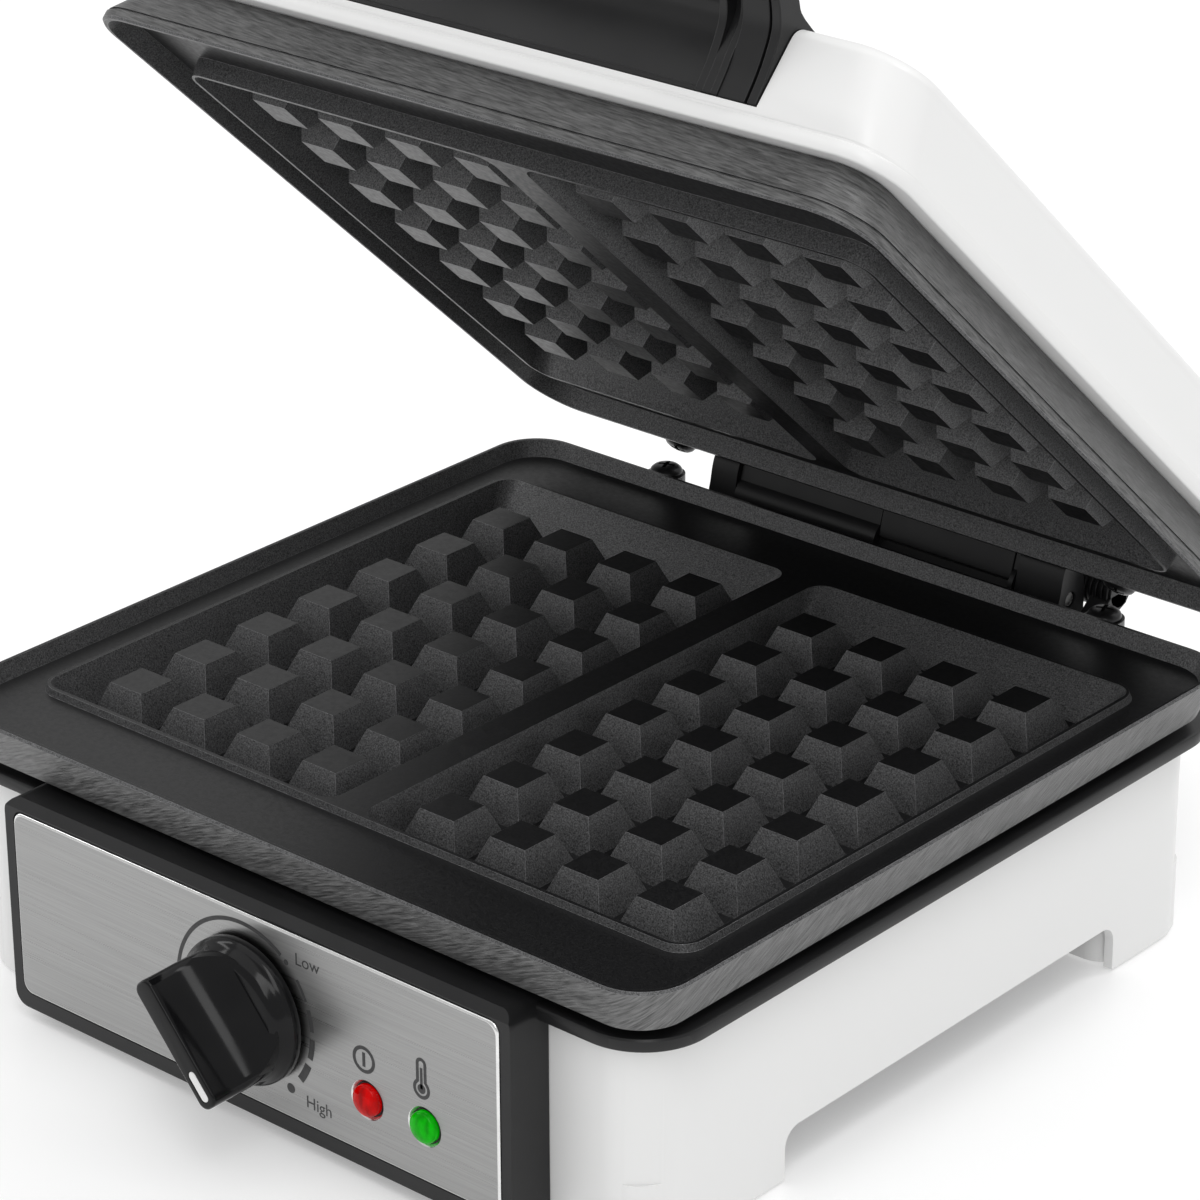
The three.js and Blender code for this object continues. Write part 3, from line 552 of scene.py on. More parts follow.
def pegs(kind):
    bm = bmesh.new()
    base, tip = PEG["base"] / 2, PEG["tip"] / 2
    for side in (-1, 1):
        for col in range(PEG["cols"]):
            for row in range(PEG["rows"]):
                x = side * (PEG["first"] + col * PEG["pitch"])
                y = PEG["middle"] + (row - (PEG["rows"] - 1) / 2) * PEG["pitch"]
                rings = []
                for half, z in ((base, -kind["floor"] - 0.2), (tip, -kind["tip"])):
                    corners = ((-half, -half), (half, -half), (half, half), (-half, half))
                    rings.append([bm.verts.new((x + dx, y + dy, z)) for dx, dy in corners])
                for i in range(4):
                    j = (i + 1) % 4
                    bm.faces.new((rings[0][i], rings[0][j], rings[1][j], rings[1][i]))
                bm.faces.new(rings[1])
                bm.faces.new(rings[0][::-1])
    return to_object(bm)


def screw_tabs(kind):
    """Two eyes at the back of a plate, each with a web to the plate's side."""
    shapes = []
    for side in (-1, 1):
        x, y, r = side * TAB["x"], TAB["y"], TAB["r"]
        levels = []
        for z, start in ((-TAB["top"] + 1, 108.5), (-TAB["face"], 112.8)):
            levels.append((z, [(x - r, start), (x + r, start)] + arc(x, y, r, 0, 180, 20)))
        tab = stack(levels)
        shapes.append(cut(tab, rod_z(x, y, 2.2, -TAB["top"] - 1, 1)))
    return shapes


def side_rule(kind):
    """0 coating, 1 flat coating painted darker as shade, 2 ground side."""
    def rule(middle, normal):
        outside = abs(middle.x) > PLATE_W / 2 - 7.5 or abs(middle.y) > PLATE_D / 2 - 7.5
        if outside and middle.z < -0.3 and normal.z < 0.5 and middle.z > -kind["h"]:
            outward_x = normal.x * middle.x > 0.3 * abs(middle.x)
            outward_y = normal.y * middle.y > 0.3 * abs(middle.y)
            return 2 if outward_x or outward_y else 0
        # faces that lie flat take the darker coating: painted shade
        if normal.z > 0.9:
            return 1
        return 0
    return rule


def cast_plate(kind, sides):
    whole = gather(plate_body(kind, sides), pegs(kind), *screw_tabs(kind))
    paint(whole, side_rule(kind))
    return whole


MIRROR = Matrix.Diagonal((1, 1, -1, 1))
lower = cast_plate(LOWER, LOWER_SIDES)
# the bevels take slot 3, the brighter edge metal: wear and painted highlight
piece("lower_plate_casting", lower, "base", [COATING, FLAT_PAINTED_SHADE, LOWER_SIDE, EDGE_WEAR_AND_HIGHLIGHT], "coated_aluminium",
      ["lower_plate"], width=0.35, angle=24, segments=2, edge_slot=3)
upper = moved(cast_plate(UPPER, UPPER_SIDES), MIRROR)
upper.data.flip_normals()
piece("upper_plate_casting", upper, "lid", [COATING, FLAT_PAINTED_SHADE, UPPER_SIDE, EDGE_WEAR_AND_HIGHLIGHT], "coated_aluminium",
      ["upper_plate"], width=0.35, angle=24, segments=2, edge_slot=3)


TAB_SCREW = {"r": 4.6, "length": 21, "slot": 0.55, "turn": math.radians(20)}


def pan_screw(x, y, seat, up=1):
    """Pan-head screw with a cross recess; the head rises from its seat, up or down."""
    r, length, slot = TAB_SCREW["r"], TAB_SCREW["length"], TAB_SCREW["slot"]
    dome = [(r - 0.35, 1.2), (r - 1.2, 1.9), (r - 2.4, 2.3), (0, 2.45)]
    head = turned([(0, 0), (r, 0), (r, 0.5)] + dome, 64)
    reach = r * 0.52
    wings = [block(-reach, reach, -slot, slot, 1.1, 3), block(-slot, slot, -reach, reach, 1.1, 3)]
    head = cut(head, *wings)
    shank = turned([(0, -length), (1.2, -length), (1.7, -length + 0.8), (1.7, 0.3), (0, 0.3)], 24)
    screw = moved(gather(head, shank), Matrix.Diagonal((1, 1, up, 1)))
    if up < 0:
        screw.data.flip_normals()
    return moved(screw, Matrix.Translation((x, y, seat)) @ Matrix.Rotation(TAB_SCREW["turn"], 4, "Z"))


for name, side in (("left", -1), ("right", 1)):
    x = side * TAB["x"]
    low = pan_screw(x, TAB["y"], -TAB["face"] + GAP)
    piece(f"lower_tab_screw_{name}", low, "base", DARK_STEEL, "steel",
          [f"lower_plate_screw_{name}"], width=0.2)
    high = pan_screw(x, TAB["y"], TAB["face"] - GAP, up=-1)
    piece(f"upper_tab_screw_{name}", high, "lid", DARK_STEEL, "steel",
          [f"upper_plate_screw_{name}"], width=0.2)

# ---------------------------------------------------------------- white shells

RING = {"half": 117.6, "front": -111.1, "back": 118.0, "r": 18.0, "top": -15.3, "bottom": -19.0,
        "hole_half": 104.0, "hole_depth": 88.0}
SHELL = {"half": 112.0, "front": -107.2, "back": 112.0, "r": 13.0, "t": 2.6, "bottom": -75.0}
ARCH = {"front": -56.5, "back": 76.5, "half": 80.0, "top": -61.8, "r": 5.0}


def arch_outline(a, b):
    top, r = ARCH["top"], ARCH["r"]
    low = SHELL["bottom"] - 1
    return [(a, low), (b, low)] + arc(b - r, top - r, r, 0, 90, 8) + arc(a + r, top - r, r, 90, 180, 8)


def base_shell():
    half, front, back, r, t = (SHELL[key] for key in ("half", "front", "back", "r", "t"))
    bottom, top = SHELL["bottom"], RING["bottom"] - GAP
    outer = block(-half, half, front, back, bottom, top, r, 16)
    inner = block(-half + t, half - t, front + t, back - t, bottom - 1, top + 1, r - t, 12)
    feet = []
    for side in (-1, 1):
        for y0, y1 in ((front + 1, ARCH["front"]), (ARCH["back"], back - 1)):
            xs = sorted((side * (half - 1), side * ARCH["half"]))
            feet.append(block(*xs, y0, y1, bottom, -56, 8, 8))
    ledge = cut(block(-half + 1, half - 1, front + 1, back - 1, -58.5, -55.5, r - 1, 12),
                block(-half + 12, half - 12, front + 12, back - 12, -60, -54, r - t, 8),
                block(-72, 72, front, front + 20, -60, -54), block(58, 78, back - 20, back, -60, -54))
    body = join(cut(outer, inner), ledge, *feet)
    arch_y = along_x(arch_outline(ARCH["front"], ARCH["back"]), -half - 5, half + 5)
    arch_x = facing_front([(front - 5, arch_outline(-ARCH["half"], ARCH["half"])),
                           (back + 5, arch_outline(-ARCH["half"], ARCH["half"]))])
    window = block(-70, 70, front - 1, front + t + 1, -62, -24)
    body = cut(body, arch_y, arch_x, window, rod_y(68, -48, 5.5, back - 5, back + 1))
    low_pads = [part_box(name) for name in frame["nodes"] if name.startswith("foot_pad")]
    for low, high in low_pads:
        corner = [BASE.inverted() @ point for point in (low, high)]
        body = cut(body, block(corner[0].x - GAP, corner[1].x + GAP, corner[0].y - GAP, corner[1].y + GAP,
                               bottom - 1, corner[1].z + GAP, 3, 5))
    return body


piece("base_shell_moulding", base_shell(), "base", WHITE, "white_plastic", ["base_shell"], width=0.7)

LID = {"half": 118.4, "front": -112.0, "back": 114.0, "r": 14.5, "t": 2.8, "lip": 14.8}
NOTCH = {"half": 79.8, "bottom": 20.9, "back": -92.0}


def lid_levels():
    """(height, pull-in of sides and back, pull-in of front), from the lip up to the top."""
    levels = [(14.8, 0.5, 0.5), (15.0, 0.15, 0.15), (15.3, 0, 0), (18.2, 0, 0), (18.5, 0.15, 0.15),
              (18.7, 0.7, 0.6), (19.2, 0.8, 0.6), (19.4, 0.95, 0.4), (19.6, 1.1, 0.3)]
    levels += [(25.9, 3.0, 0.37), (32.3, 4.9, 0.43), (37.6, 6.5, 0.5)]
    for i in range(0, 13):
        a = math.radians(90 * i / 12)
        pull = 5.4 * (1 - math.cos(a))
        levels.append((38.6 + 4.2 * math.sin(a), 6.8 + pull, 0.55 + pull))
    levels += [(43.1, 25, 20), (43.5, 45, 40)]
    return levels


def lid_outline(side, front):
    x = LID["half"] - side
    return rounded(-x, x, LID["front"] + front, LID["back"] - side, LID["r"], 16)


def lid_shell():
    t = LID["t"]
    outer = stack([(z, lid_outline(side, front)) for z, side, front in lid_levels()])
    room = stack([(LID["lip"] + t, lid_outline(t + 1.3, t + 1.2)), (38, lid_outline(t + 7, t + 1.2)),
                  (40, lid_outline(t + 13, t + 6))])
    mouth = block(-109.5, 109.5, -104, 107, LID["lip"] - 1, LID["lip"] + t + 1, 8, 10)
    notch = block(-NOTCH["half"], NOTCH["half"], LID["front"] - 5, NOTCH["back"], NOTCH["bottom"], 50)
    body = cut(outer, room, mouth, notch)
    for side in (-1, 1):
        x = side * TAB["x"]
        boss = rod_z(x, TAB["y"], TAB["r"], TAB["top"] + GAP, 27)
        web = block(x - TAB["r"], x + TAB["r"], LID["back"] - 2, TAB["y"], LID["lip"] + 0.5, 27)
        body = cut(join(body, boss, web), rod_z(x, TAB["y"], 2, 10, 25))
    return body


piece("lid_shell_moulding", lid_shell(), "lid", WHITE, "white_plastic", ["lid_shell"],
      width=0.5, angle=40)

# ---------------------------------------------------------------- black base moulding

HOUSING = {"half": 83.7, "front": PANEL_Y, "top": -14.0, "bottom": -72.0, "r": 4.0, "bevel": 2.2,
           "wall": 2.6}
PANEL = {"w": 160.8, "h": 50.6, "r": 3.0, "z": DIAL.z, "recess": 0.8, "t": 1.0, "roll": 0.8}
LAMPS = (39.0, 57.2)
LAMP_Z = -52.7
LENS_R = 4.05
REAR = {"half": 81.0, "front": 106.0, "back": 127.0, "bottom": -28.0}
KNUCKLES = ((-59.6, -50.6), (45.1, 59.6))


def ring():
    half, front, back, r = (RING[key] for key in ("half", "front", "back", "r"))
    top, bottom = RING["top"], RING["bottom"]
    levels = [(bottom, 0.5), (bottom + 0.15, 0.15), (bottom + 0.5, 0)]
    levels += [(top - 0.8, 0), (top - 0.3, 0.25), (top, 0.8)]
    body = stack([(z, rounded(-half + d, half - d, front + d, back - d, r, 18)) for z, d in levels])
    edge = SHELL["t"] + GAP
    x, y0, y1 = SHELL["half"] - edge, SHELL["front"] + edge, SHELL["back"] - edge
    skirt = cut(block(-x, x, y0, y1, bottom - 5, bottom + 1, 10.4),
                block(-x + 2, x - 2, y0 + 2, y1 - 2, bottom - 6, bottom + 2, 8.4))
    x, y = RING["hole_half"], RING["hole_depth"]
    return join(cut(body, block(-x, x, -y, y, -80, 0, 8)), skirt)


def housing():
    half, front, top, bottom = (HOUSING[key] for key in ("half", "front", "top", "bottom"))
    back = SHELL["front"] - GAP
    outline = rounded(-half, half, bottom, top, HOUSING["r"], 12)
    shape = facing_front([(front, outline), (back, outline)])
    bevel, wall = HOUSING["bevel"], HOUSING["wall"]
    wedge = along_x([(front - 1, top - bevel - 1), (front + bevel + 1, top + 1), (front - 1, top + 1)],
                    -half - 1, half + 1)
    inside = block(-half + wall, half - wall, front + wall, back + 1, bottom + wall, bottom + 53)
    w, h = PANEL["w"] / 2 + GAP, PANEL["h"] / 2 + GAP
    frame_line = rounded(-w, w, PANEL["z"] - h, PANEL["z"] + h, PANEL["r"] + GAP, 12)
    pocket = facing_front([(front - 1, frame_line), (front + PANEL["recess"], frame_line)])
    holes = [rod_y(x, LAMP_Z, 4.9, front - 1, front + 4) for x in LAMPS]
    holes.append(rod_y(DIAL.x, DIAL.z, 4.5, front - 1, front + 4))
    bridge = block(-half + 6, half - 6, back - 3, -94, RING["bottom"], RING["top"])
    return join(cut(shape, wedge, inside, pocket, *holes), bridge)


def rear_block():
    top = RING["top"] - 0.4
    body = block(-REAR["half"], REAR["half"], SHELL["back"] + GAP, REAR["back"], REAR["bottom"], top, 3)
    body = join(body, block(-REAR["half"], REAR["half"], REAR["front"], SHELL["back"] + 3,
                            RING["bottom"], top))
    y, z = HINGE.y, HINGE.z
    front_hood = smoothed([(y - 4.6, z + 3), (y - 3.8, z + 7), (y - 2.6, z + 10), (y - 0.6, z + 11),
                           (y + 2.6, z + 9.8), (y + 5.4, z + 6), (y + 6.2, z)], 3)[::-1]
    foot = [(y - 6, z - 2), (y - 10, RING["bottom"]), (y, RING["bottom"] - 6), (y + 6, z - 6)]
    for x0, x1 in KNUCKLES:
        body = join(body, along_x(foot + front_hood, x0, x1))
    holes = [rod_z(side * TAB["x"], TAB["y"], 2, REAR["bottom"] + 1, 0) for side in (-1, 1)]
    return cut(body, rod_x(y, z, 2.3, -80, 80), *holes)


def rear_wall_slot():
    x, y = SHELL["half"] + GAP, SHELL["back"]
    return block(-x, x, y - SHELL["t"] - GAP, y + GAP, -90, RING["bottom"])


base_black = cut(join(ring(), housing(), rear_block()), rear_wall_slot())
piece("base_frame_moulding", base_black, "base", BLACK, "black_plastic", ["base_frame"], width=0.45)

# ---------------------------------------------------------------- control panel


def fascia():
    """Thin metal plate whose edge is rolled back, with chamfered lamp holes."""
    w, h, front = PANEL["w"] / 2, PANEL["h"] / 2, HOUSING["front"] + PANEL["recess"] - GAP
    middle, roll = PANEL["z"], PANEL["roll"]
    levels = []
    for i in range(6, -1, -1):
        a = math.radians(15 * i)
        levels.append((front - PANEL["t"] + roll * (1 - math.sin(a)), roll * (1 - math.cos(a))))
    levels.append((front, 0))
    outlines = []
    for y, d in levels:
        outlines.append((y, rounded(-w + d, w - d, middle - h + d, middle + h - d, PANEL["r"], 10)))
    body = facing_front(outlines)
    cutters = [rod_y(DIAL.x, DIAL.z, 4.5, front - 3, front + 3)]
    for x in LAMPS:
        cone = [(front - 1.3, 5.5), (front - 0.35, 4.5), (front + 3, 4.4)]
        cutters.append(facing_front([(y, arc(x, LAMP_Z, r, 0, 357, 119)) for y, r in cone]))
    body = cut(body, *cutters)
    # faces that lean out of the front (rolled edge, hole chamfers) take slot 1, the lighter steel: painted
    # highlight
    paint(body, lambda middle, normal: 1 if 0.2 < abs(normal.y) < 0.97 else 0)
    return body


PANEL_FRONT = HOUSING["front"] + PANEL["recess"] - GAP - PANEL["t"]
piece("control_panel_plate", fascia(), "base", [BRUSHED, EDGE_HIGHLIGHT], "brushed_steel",
      ["control_fascia"], width=0)

PRINT_Y = PANEL_FRONT - 0.03
PRINT = {"ring": 22.4, "x": -0.9, "line": 1.1, "low": 49.5, "high": -48.8, "dashes": 4,
         "reach": 7.3, "text": 4.6}


def ribbon(points, width, closed=False):
    """Flat line of even width in the panel's plane."""
    bm = bmesh.new()
    count = len(points)
    sides = []
    for i, point in enumerate(points):
        ahead = Vector(points[(i + 1) % count] if closed or i < count - 1 else point)
        behind = Vector(points[i - 1] if closed or i > 0 else point)
        run = (ahead - behind).normalized()
        across = Vector((-run.y, run.x)) * width / 2
        sides.append([bm.verts.new((point[0] + s * across.x, PRINT_Y, point[1] + s * across.y))
                      for s in (1, -1)])
    for i in range(count if closed else count - 1):
        a, b = sides[i], sides[(i + 1) % count]
        bm.faces.new((a[0], a[1], b[1], b[0]))
    return to_object(bm)


def spot(x, z, r):
    bm = bmesh.new()
    bm.faces.new([bm.verts.new((px, PRINT_Y, pz)) for px, pz in arc(x, z, r, 0, 350, 35)])
    return to_object(bm)


def word(text, x, z, size):
    curve = bpy.data.curves.new("word", "FONT")
    curve.body = text
    curve.size = size
    curve.offset = 0.002 * size
    holder = bpy.data.objects.new("word", curve)
    bpy.context.scene.collection.objects.link(holder)
    bpy.context.view_layer.update()
    graph = bpy.context.evaluated_depsgraph_get()
    mesh = bpy.data.meshes.new_from_object(holder.evaluated_get(graph))
    bpy.data.objects.remove(holder)
    made = bpy.data.objects.new("word", mesh)
    bpy.context.scene.collection.objects.link(made)
    upright = Matrix.Translation((x, PRINT_Y, z)) @ Matrix.Rotation(math.radians(90), 4, "X")
    return moved(made, upright)


def dial_print():
    """Scale round the knob: a plain line, then dashes that grow from the Low dot to the High dot."""
    cx, cz, r = DIAL.x + PRINT["x"], DIAL.z, PRINT["ring"]
    marks = [ribbon(arc(cx, cz, r, 55, 262, 90), PRINT["line"])]
    step = (PRINT["low"] - PRINT["high"]) / (PRINT["dashes"] + 1)
    for i in range(PRINT["dashes"]):
        middle = PRINT["low"] - step * (i + 1)
        dash = arc(cx, cz, r, middle - PRINT["reach"], middle + PRINT["reach"], 14)
        marks.append(ribbon(dash, 0.9 + 0.4 * i))
    for angle, size in ((PRINT["low"], 0.75), (PRINT["high"], 1.3)):
        a = math.radians(angle)
        marks.append(spot(cx + r * math.cos(a), cz + r * math.sin(a), size))
    marks.append(word("Low", cx + 17.4, cz + 17.6, PRINT["text"]))
    marks.append(word("High", cx + 19.6, cz - 20.0, PRINT["text"]))
    return marks


def lamp_symbols():
    """A power symbol over the red lamp and a thermometer over the green one."""
    x, z = LAMPS[0] - 0.8, DIAL.z + 0.2
    marks = [ribbon(arc(x, z, 3.1, 0, 355, 71), 0.95, True), ribbon([(x, z - 1.9), (x, z + 1.9)], 0.95)]
    x, z = LAMPS[1] - 0.7, DIAL.z + 2.3
    tube = arc(x, z + 3.7, 1.2, 0, 180, 12) + arc(x, z - 2.9, 2.2, 123, 417, 40)
    marks.append(ribbon(tube, 0.9, True))
    marks.append(ribbon([(x, z + 2.7), (x, z - 2.9)], 0.8))
    marks.append(spot(x, z - 2.9, 1.25))
    return marks


piece("panel_print", gather(*dial_print(), *lamp_symbols()), "base", INK, "black_plastic", width=0)


def lens(x):
    """Domed lens with a plain stem behind it."""
    y = HOUSING["front"]
    dome = []
    for degrees in range(0, 90, 9):
        a = math.radians(degrees)
        dome.append((LENS_R * math.cos(a), 0.9 + 1.9 * math.sin(a)))
    profile = [(0, -3.0), (LENS_R, -3.0)] + dome + [(0, 2.8)]
    shape = turned(profile, 64)
    return moved(shape, Matrix.Translation((x, y, LAMP_Z)) @ Matrix.Rotation(math.radians(90), 4, "X"))


def lens_collar(x):
    """Black collar that fills the gap between a lens and its hole."""
    y = HOUSING["front"]
    tube = rod_y(x, LAMP_Z, 4.38, y + 0.1, y + 2.5, 64)
    return cut(tube, rod_y(x, LAMP_Z, LENS_R + 0.04, y - 2, y + 3, 64))


piece("red_lamp", lens(LAMPS[0]), "base", RED, "red_lens_plastic", ["red_lens"], width=0)
piece("green_lamp", lens(LAMPS[1]), "base", GREEN, "green_lens_plastic", ["green_lens"], width=0)
for name, x in (("red", LAMPS[0]), ("green", LAMPS[1])):
    piece(f"{name}_lamp_collar", lens_collar(x), "base", BLACK, "black_plastic", width=0.1)

# ---------------------------------------------------------------- dial knob

KNOB_ANGLE = math.radians(PRINT["high"])
KNOB = {"skirt": 19.0, "shoulder": 17.4, "length": 34.0, "front": 145.0, "edge": 3.1, "flare": 11}


def on_dial(shape):
    turn = Matrix.Rotation(math.radians(90), 4, "X") @ Matrix.Rotation(KNOB_ANGLE, 4, "Z")
    return moved(shape, Matrix.Translation((DIAL.x, 0, DIAL.z)) @ turn)


def knob():
    back = -HOUSING["front"] + 1.2
    front = KNOB["front"]
    r, shoulder = KNOB["skirt"], KNOB["shoulder"]
    profile = [(0, back), (r - 0.5, back), (r, back + 0.5), (r, back + 2.2), (r - 0.2, back + 2.8),
               (r - 0.8, back + 3.5), (shoulder + 0.1, back + 4.4), (shoulder - 0.4, back + 5.6),
               (shoulder - 1.2, back + 6.5), (shoulder - 2.4, back + 7), (0, back + 7)]
    skirt = turned(profile, 128)
    levels = []
    for i in range(25):
        s = i / 24
        across = KNOB["edge"] + KNOB["flare"] * (1 - s) ** 2.6
        levels.append((back + 6 + s * (front - 0.7 - back - 6), 0, across))
    for i in range(1, 6):
        a = math.radians(18 * i)
        levels.append((front - 0.7 + 0.7 * math.sin(a), 0.7 * (1 - math.cos(a)), KNOB["edge"]))
    half = KNOB["length"] / 2
    grip = stack([(z, rounded(-half + d, half - d, -across + d, across - d, max(2.5 - d, 1.5), 10))
                  for z, d, across in levels])
    grip = combine("INTERSECT", grip, [rod_z(0, 0, shoulder - 0.2, back + 4, front + 1, 128)])
    slot = block(7, 15.4, -1.4, 1.4, front - 0.9, front + 1, 1.39, 12)
    return on_dial(gather(skirt, cut(grip, slot)))


def pointer():
    front = KNOB["front"]
    levels = [(front - 0.8, 0), (front - 0.15, 0), (front, 0.2)]
    outlines = [(z, rounded(7.15 + d, 15.25 - d, -1.2 + d, 1.2 - d, 1.19 - d, 12)) for z, d in levels]
    return on_dial(stack(outlines))


piece("dial_knob", knob(), "dial", GLOSS, "gloss_black_plastic", ["knob"], width=0, angle=50)
piece("dial_pointer", pointer(), "dial", WHITE, "white_plastic", ["knob_pointer"], width=0)

# ---------------------------------------------------------------- handle

ARM_UNDER = [(-112.1, 21.2), (-112.9, 28.2), (-114.3, 33.8), (-115.7, 37.5), (-118.3, 40.5), (-122.4, 43.4),
             (-130, 46.8), (-140, 48.2), (-148, 51.2), (-149.8, 55.2), (-147, 60.2), (-141, 62)]
ARM_TOP = [(-141, 62), (-133, 58.6), (-124, 52.2), (-115, 46.8), (-109.6, 44.4), (-92.4, 43.6)]
ARM_INSIDE = [(-92.4, 40.1), (-101, 39.2), (-104.2, 37.6), (-106.4, 34.2), (-107.8, 21.2)]
PANEL_FACE = [(-110.1, 21.2), (-109.5, 31.2), (-109.2, 37.2), (-110.3, 40.4), (-112.3, 42.6),
              (-112.5, 45.2), (-110.5, 46.2), (-106, 45.4), (-100, 44), (-92.4, 43.2)]
HANDLE = {"half": 79.5, "inner": 62.0, "grip_y": -141.0, "grip_z": 55.2, "grip_r": 8.6}

# Across an arm: inner flange, recess that deepens upwards, face, groove, outer flange and its bead
ARM_PARTS = ((62.0, 64.3, 0.0, True), (64.1, 66.6, 3.4, False), (66.4, 68.4, 2.0, False),
             (68.2, 76.0, 0.5, True), (75.8, 77.2, 1.8, True), (77.0, 79.5, 0.0, True))


def arm_section(sunk, steady):
    """Side view of an arm; sunk draws its front face back, steadily or more and more with height."""
    under = []
    for y, z in smoothed(ARM_UNDER, 4):
        rise = min(max((z - 30) / 14, 0), 1)
        fade = min(max((y + 142) / 14, 0), 1)
        under.append((y + sunk * fade * (0.9 if steady else rise), z + sunk * fade * rise))
    return under + smoothed(ARM_TOP, 4)[1:] + ARM_INSIDE


def handle():
    """Two arms, each a sunk web between raised flanges, and the grip bar that joins them."""
    shapes = []
    for side in (-1, 1):
        for x0, x1, sunk, steady in ARM_PARTS:
            shapes.append(along_x(arm_section(sunk, steady), *sorted((side * x0, side * x1))))
    bar = arc(HANDLE["grip_y"], HANDLE["grip_z"], HANDLE["grip_r"], 0, 352.5, 47, 6.6 / 8.6)
    shapes.append(along_x(bar, -HANDLE["half"] + 2, HANDLE["half"] - 2))
    return gather(*shapes)


piece("handle_moulding", handle(), "lid", BLACK, "black_plastic", ["lid_handle"], width=0.35, angle=28)


def handle_panel():
    x = HANDLE["inner"] - GAP
    face = along_x(smoothed(PANEL_FACE, 4) + ARM_INSIDE, -x, x)
    foot = along_x([(-111.3, 21.2), (-111.1, 22.6), (-109, 22.9), (-109, 21.2)], -x, x)
    return gather(face, foot)


piece("handle_recess_panel", handle_panel(), "lid", BLACK, "black_plastic", ["handle_panel"],
      width=0.35, angle=28)

# ---------------------------------------------------------------- hinge

BARREL = {"x0": -50.1, "x1": 44.6, "r": 6.0}
COVER = {"x0": -1.4, "x1": 43.2, "t": 1.5, "proud": 0.4}
HOOD = smoothed([(122.8, -5.4), (121, -2), (119, 2.3), (117.6, 5.8), (116.6, 9.4)], 4)


def hood_strip(near, far):
    return [(y + near, z) for y, z in HOOD] + [(y + far, z) for y, z in reversed(HOOD)]


def lid_hinge():
    y, z, r = HINGE.y, HINGE.z, BARREL["r"]
    pad = [(114.3, 15.2), (114.3, 19.2), (113.4, 19.6), (110.4, 30), (115, 30), (y, 19), (y + 5, 7)]
    x0, x1 = BARREL["x0"], BARREL["x1"]
    body = join(along_x(HOOD + pad + [(y + r, z)], x0, x1), rod_x(y, z, r, x0, x1, 64))
    recess = along_x(hood_strip(-3, COVER["t"]), COVER["x0"], COVER["x1"])
    below = block(COVER["x0"], COVER["x1"], 118, HOOD[0][0] + COVER["t"], -12, HOOD[0][1] + 0.01)
    bores = [rod_x(y, z, 2.3, x0 - 1, -28), rod_x(y, z, 2.3, 26, x1 + 1)]
    return cut(body, recess, below, *bores)


piece("hinge_barrel", lid_hinge(), "lid", BLACK, "black_plastic", ["lid_hinge"], width=0.45)
cover = along_x(hood_strip(-COVER["proud"], COVER["t"] - GAP), COVER["x0"] + GAP, COVER["x1"] - GAP)
piece("hinge_cover_strip", cover, "lid", BLACK, "black_plastic", ["hinge_cover"], width=0.5)


def lead_guard():
    """Ribbed sleeve for the leads that pass to the lid."""
    y, z, x0, x1 = 140, -4.5, 54.0, 66.6
    stem = [(y - 18, -15.4), (y - 13.5, -15.4), (y + 3, z - 4), (y + 3, z), (y - 4, z)]
    shapes = [rod_x(y, z, 4.7, x0, x1), along_x(stem, 60.4, x1)]
    pitch = (x1 - x0) / 7
    for i in range(7):
        x = x0 + i * pitch
        shapes.append(rod_x(y, z, 5.5, x, x + pitch * 0.6))
    return gather(*shapes)


piece("lead_sleeve", lead_guard(), "base", BLACK, "black_plastic", ["lead_guard"], width=0.3)

# ---------------------------------------------------------------- pieces kept from the frame

CARRIED = {
    "bottom_cover": BLACK, "lower_heater": STEEL, "lower_reflector": SHEET, "thermostat": STEEL,
    "thermostat_shaft": STEEL, "red_lamp_holder": CERAMIC, "green_lamp_holder": CERAMIC,
    "terminal_block": CERAMIC, "thermal_fuse": STEEL, "cord_grommet": RUBBER, "lid_liner": BLACK,
    "upper_heater": STEEL, "upper_reflector": SHEET,
}


def carried_material(name):
    if name.startswith("foot_pad"):
        return RUBBER
    if name.startswith(("cover_screw", "hinge_pin", "handle_screw")):
        return STEEL
    return CARRIED.get(name)


for name, node in frame["nodes"].items():
    material = carried_material(name)
    if material is None:
        continue
    node.data.materials.clear()
    node.data.materials.append(material)
    weld = node.modifiers.new("weld", "WELD")
    weld.merge_threshold = 0.00001
    bevel = node.modifiers.new("edges", "BEVEL")
    bevel.width = 0.0003
    bevel.segments = 2
    bevel.limit_method = "ANGLE"
    bevel.angle_limit = math.radians(35)

# ---------------------------------------------------------------- stage, light and camera


def stage_floor():
    bm = bmesh.new()
    bmesh.ops.create_grid(bm, x_segments=1, y_segments=1, size=6)
    floor = to_object(bm, "floor")
    look = Finish("studio_floor", (0.72, 0.72, 0.72), 0.4, Emission_Strength=0.3)
    look.shader.inputs["Emission Color"].default_value = (1, 1, 1, 1)
    look.roughen(look.noise(3, 2), 0.35, 0.45)
    floor.data.materials.append(look.material)


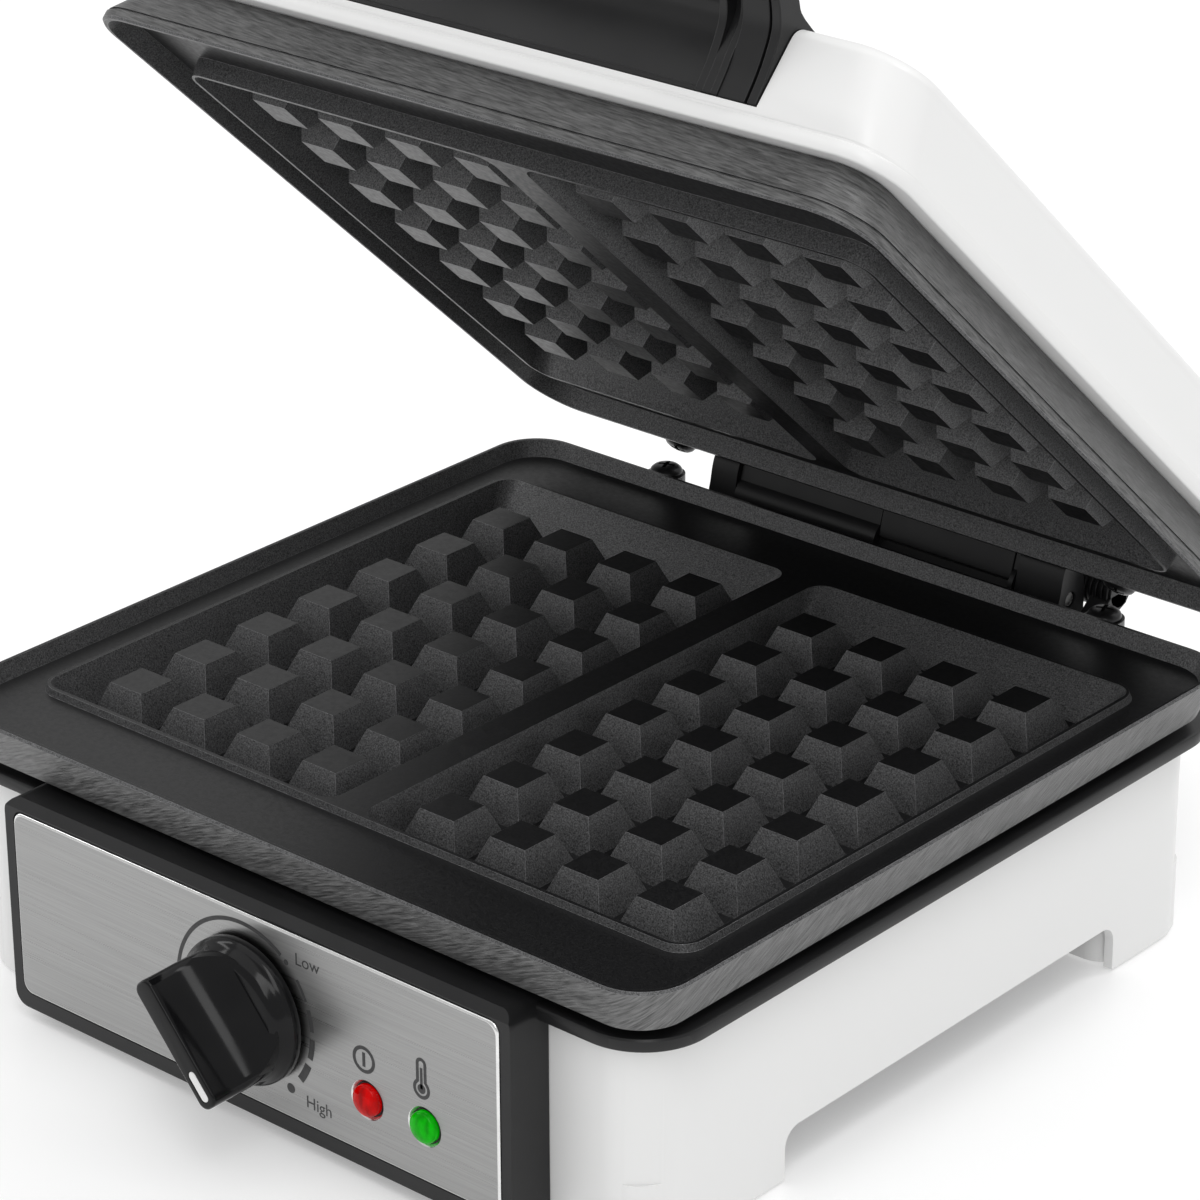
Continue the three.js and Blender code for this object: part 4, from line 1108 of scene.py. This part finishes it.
def area_light(name, place, target, size, power):
    data = bpy.data.lights.new(name, "AREA")
    data.shape = "RECTANGLE"
    data.size, data.size_y = size
    data.energy = power
    light = bpy.data.objects.new(name, data)
    light.location = place
    light.rotation_mode = "QUATERNION"
    light.rotation_quaternion = (Vector(target) - Vector(place)).to_track_quat("-Z", "Y")
    bpy.context.scene.collection.objects.link(light)


def studio():
    bpy.context.scene.view_settings.view_transform = "Standard"
    world = bpy.data.worlds.new("studio")
    bpy.context.scene.world = world
    world.use_nodes = True
    world.node_tree.nodes["Background"].inputs["Color"].default_value = (1, 1, 1, 1)
    world.node_tree.nodes["Background"].inputs["Strength"].default_value = 0.64
    area_light("overhead", (0, 0.1, 2.2), (0, 0.1, 0), (3, 3), 20)
    area_light("key", (0.9, -0.9, 1.5), (0, 0, 0.12), (0.5, 1.4), 7)
    area_light("side", (-1.6, -0.5, 0.9), (0, 0, 0.15), (0.2, 1.4), 3.5)
    area_light("back", (0.4, 1.5, 1.3), (0, 0, 0.15), (1.6, 0.8), 2.5)
    area_light("glint", (0.58, 0.82, 1.49), (0.11, -0.06, 0.24), (0.25, 0.25), 3)


CAMERA = {"azimuth": 41.702, "elevation": 24.481, "roll": -0.476, "right": -7.6, "up": 19.9,
          "distance": 1128.3, "lens": 134.557, "shift": 0.04}


def camera():
    a, e, r = (math.radians(CAMERA[key]) for key in ("azimuth", "elevation", "roll"))
    back = Vector((math.sin(a) * math.cos(e), -math.cos(a) * math.cos(e), math.sin(e)))
    level = Vector((math.cos(a), math.sin(a), 0))
    upright = back.cross(level)
    right = level * math.cos(r) + upright * math.sin(r)
    up = upright * math.cos(r) - level * math.sin(r)
    place = BASE @ (back * CAMERA["distance"] + right * CAMERA["right"] + up * CAMERA["up"])
    data = bpy.data.cameras.new("camera")
    data.lens = CAMERA["lens"]
    data.shift_x = CAMERA["shift"]
    data.sensor_width = 36
    data.clip_start = 0.05
    data.clip_end = 50
    holder = bpy.data.objects.new("camera", data)
    holder.matrix_world = Matrix.Translation(place) @ Matrix((right, up, back)).transposed().to_4x4()
    bpy.context.scene.collection.objects.link(holder)
    bpy.context.scene.camera = holder


stage_floor()
studio()
camera()
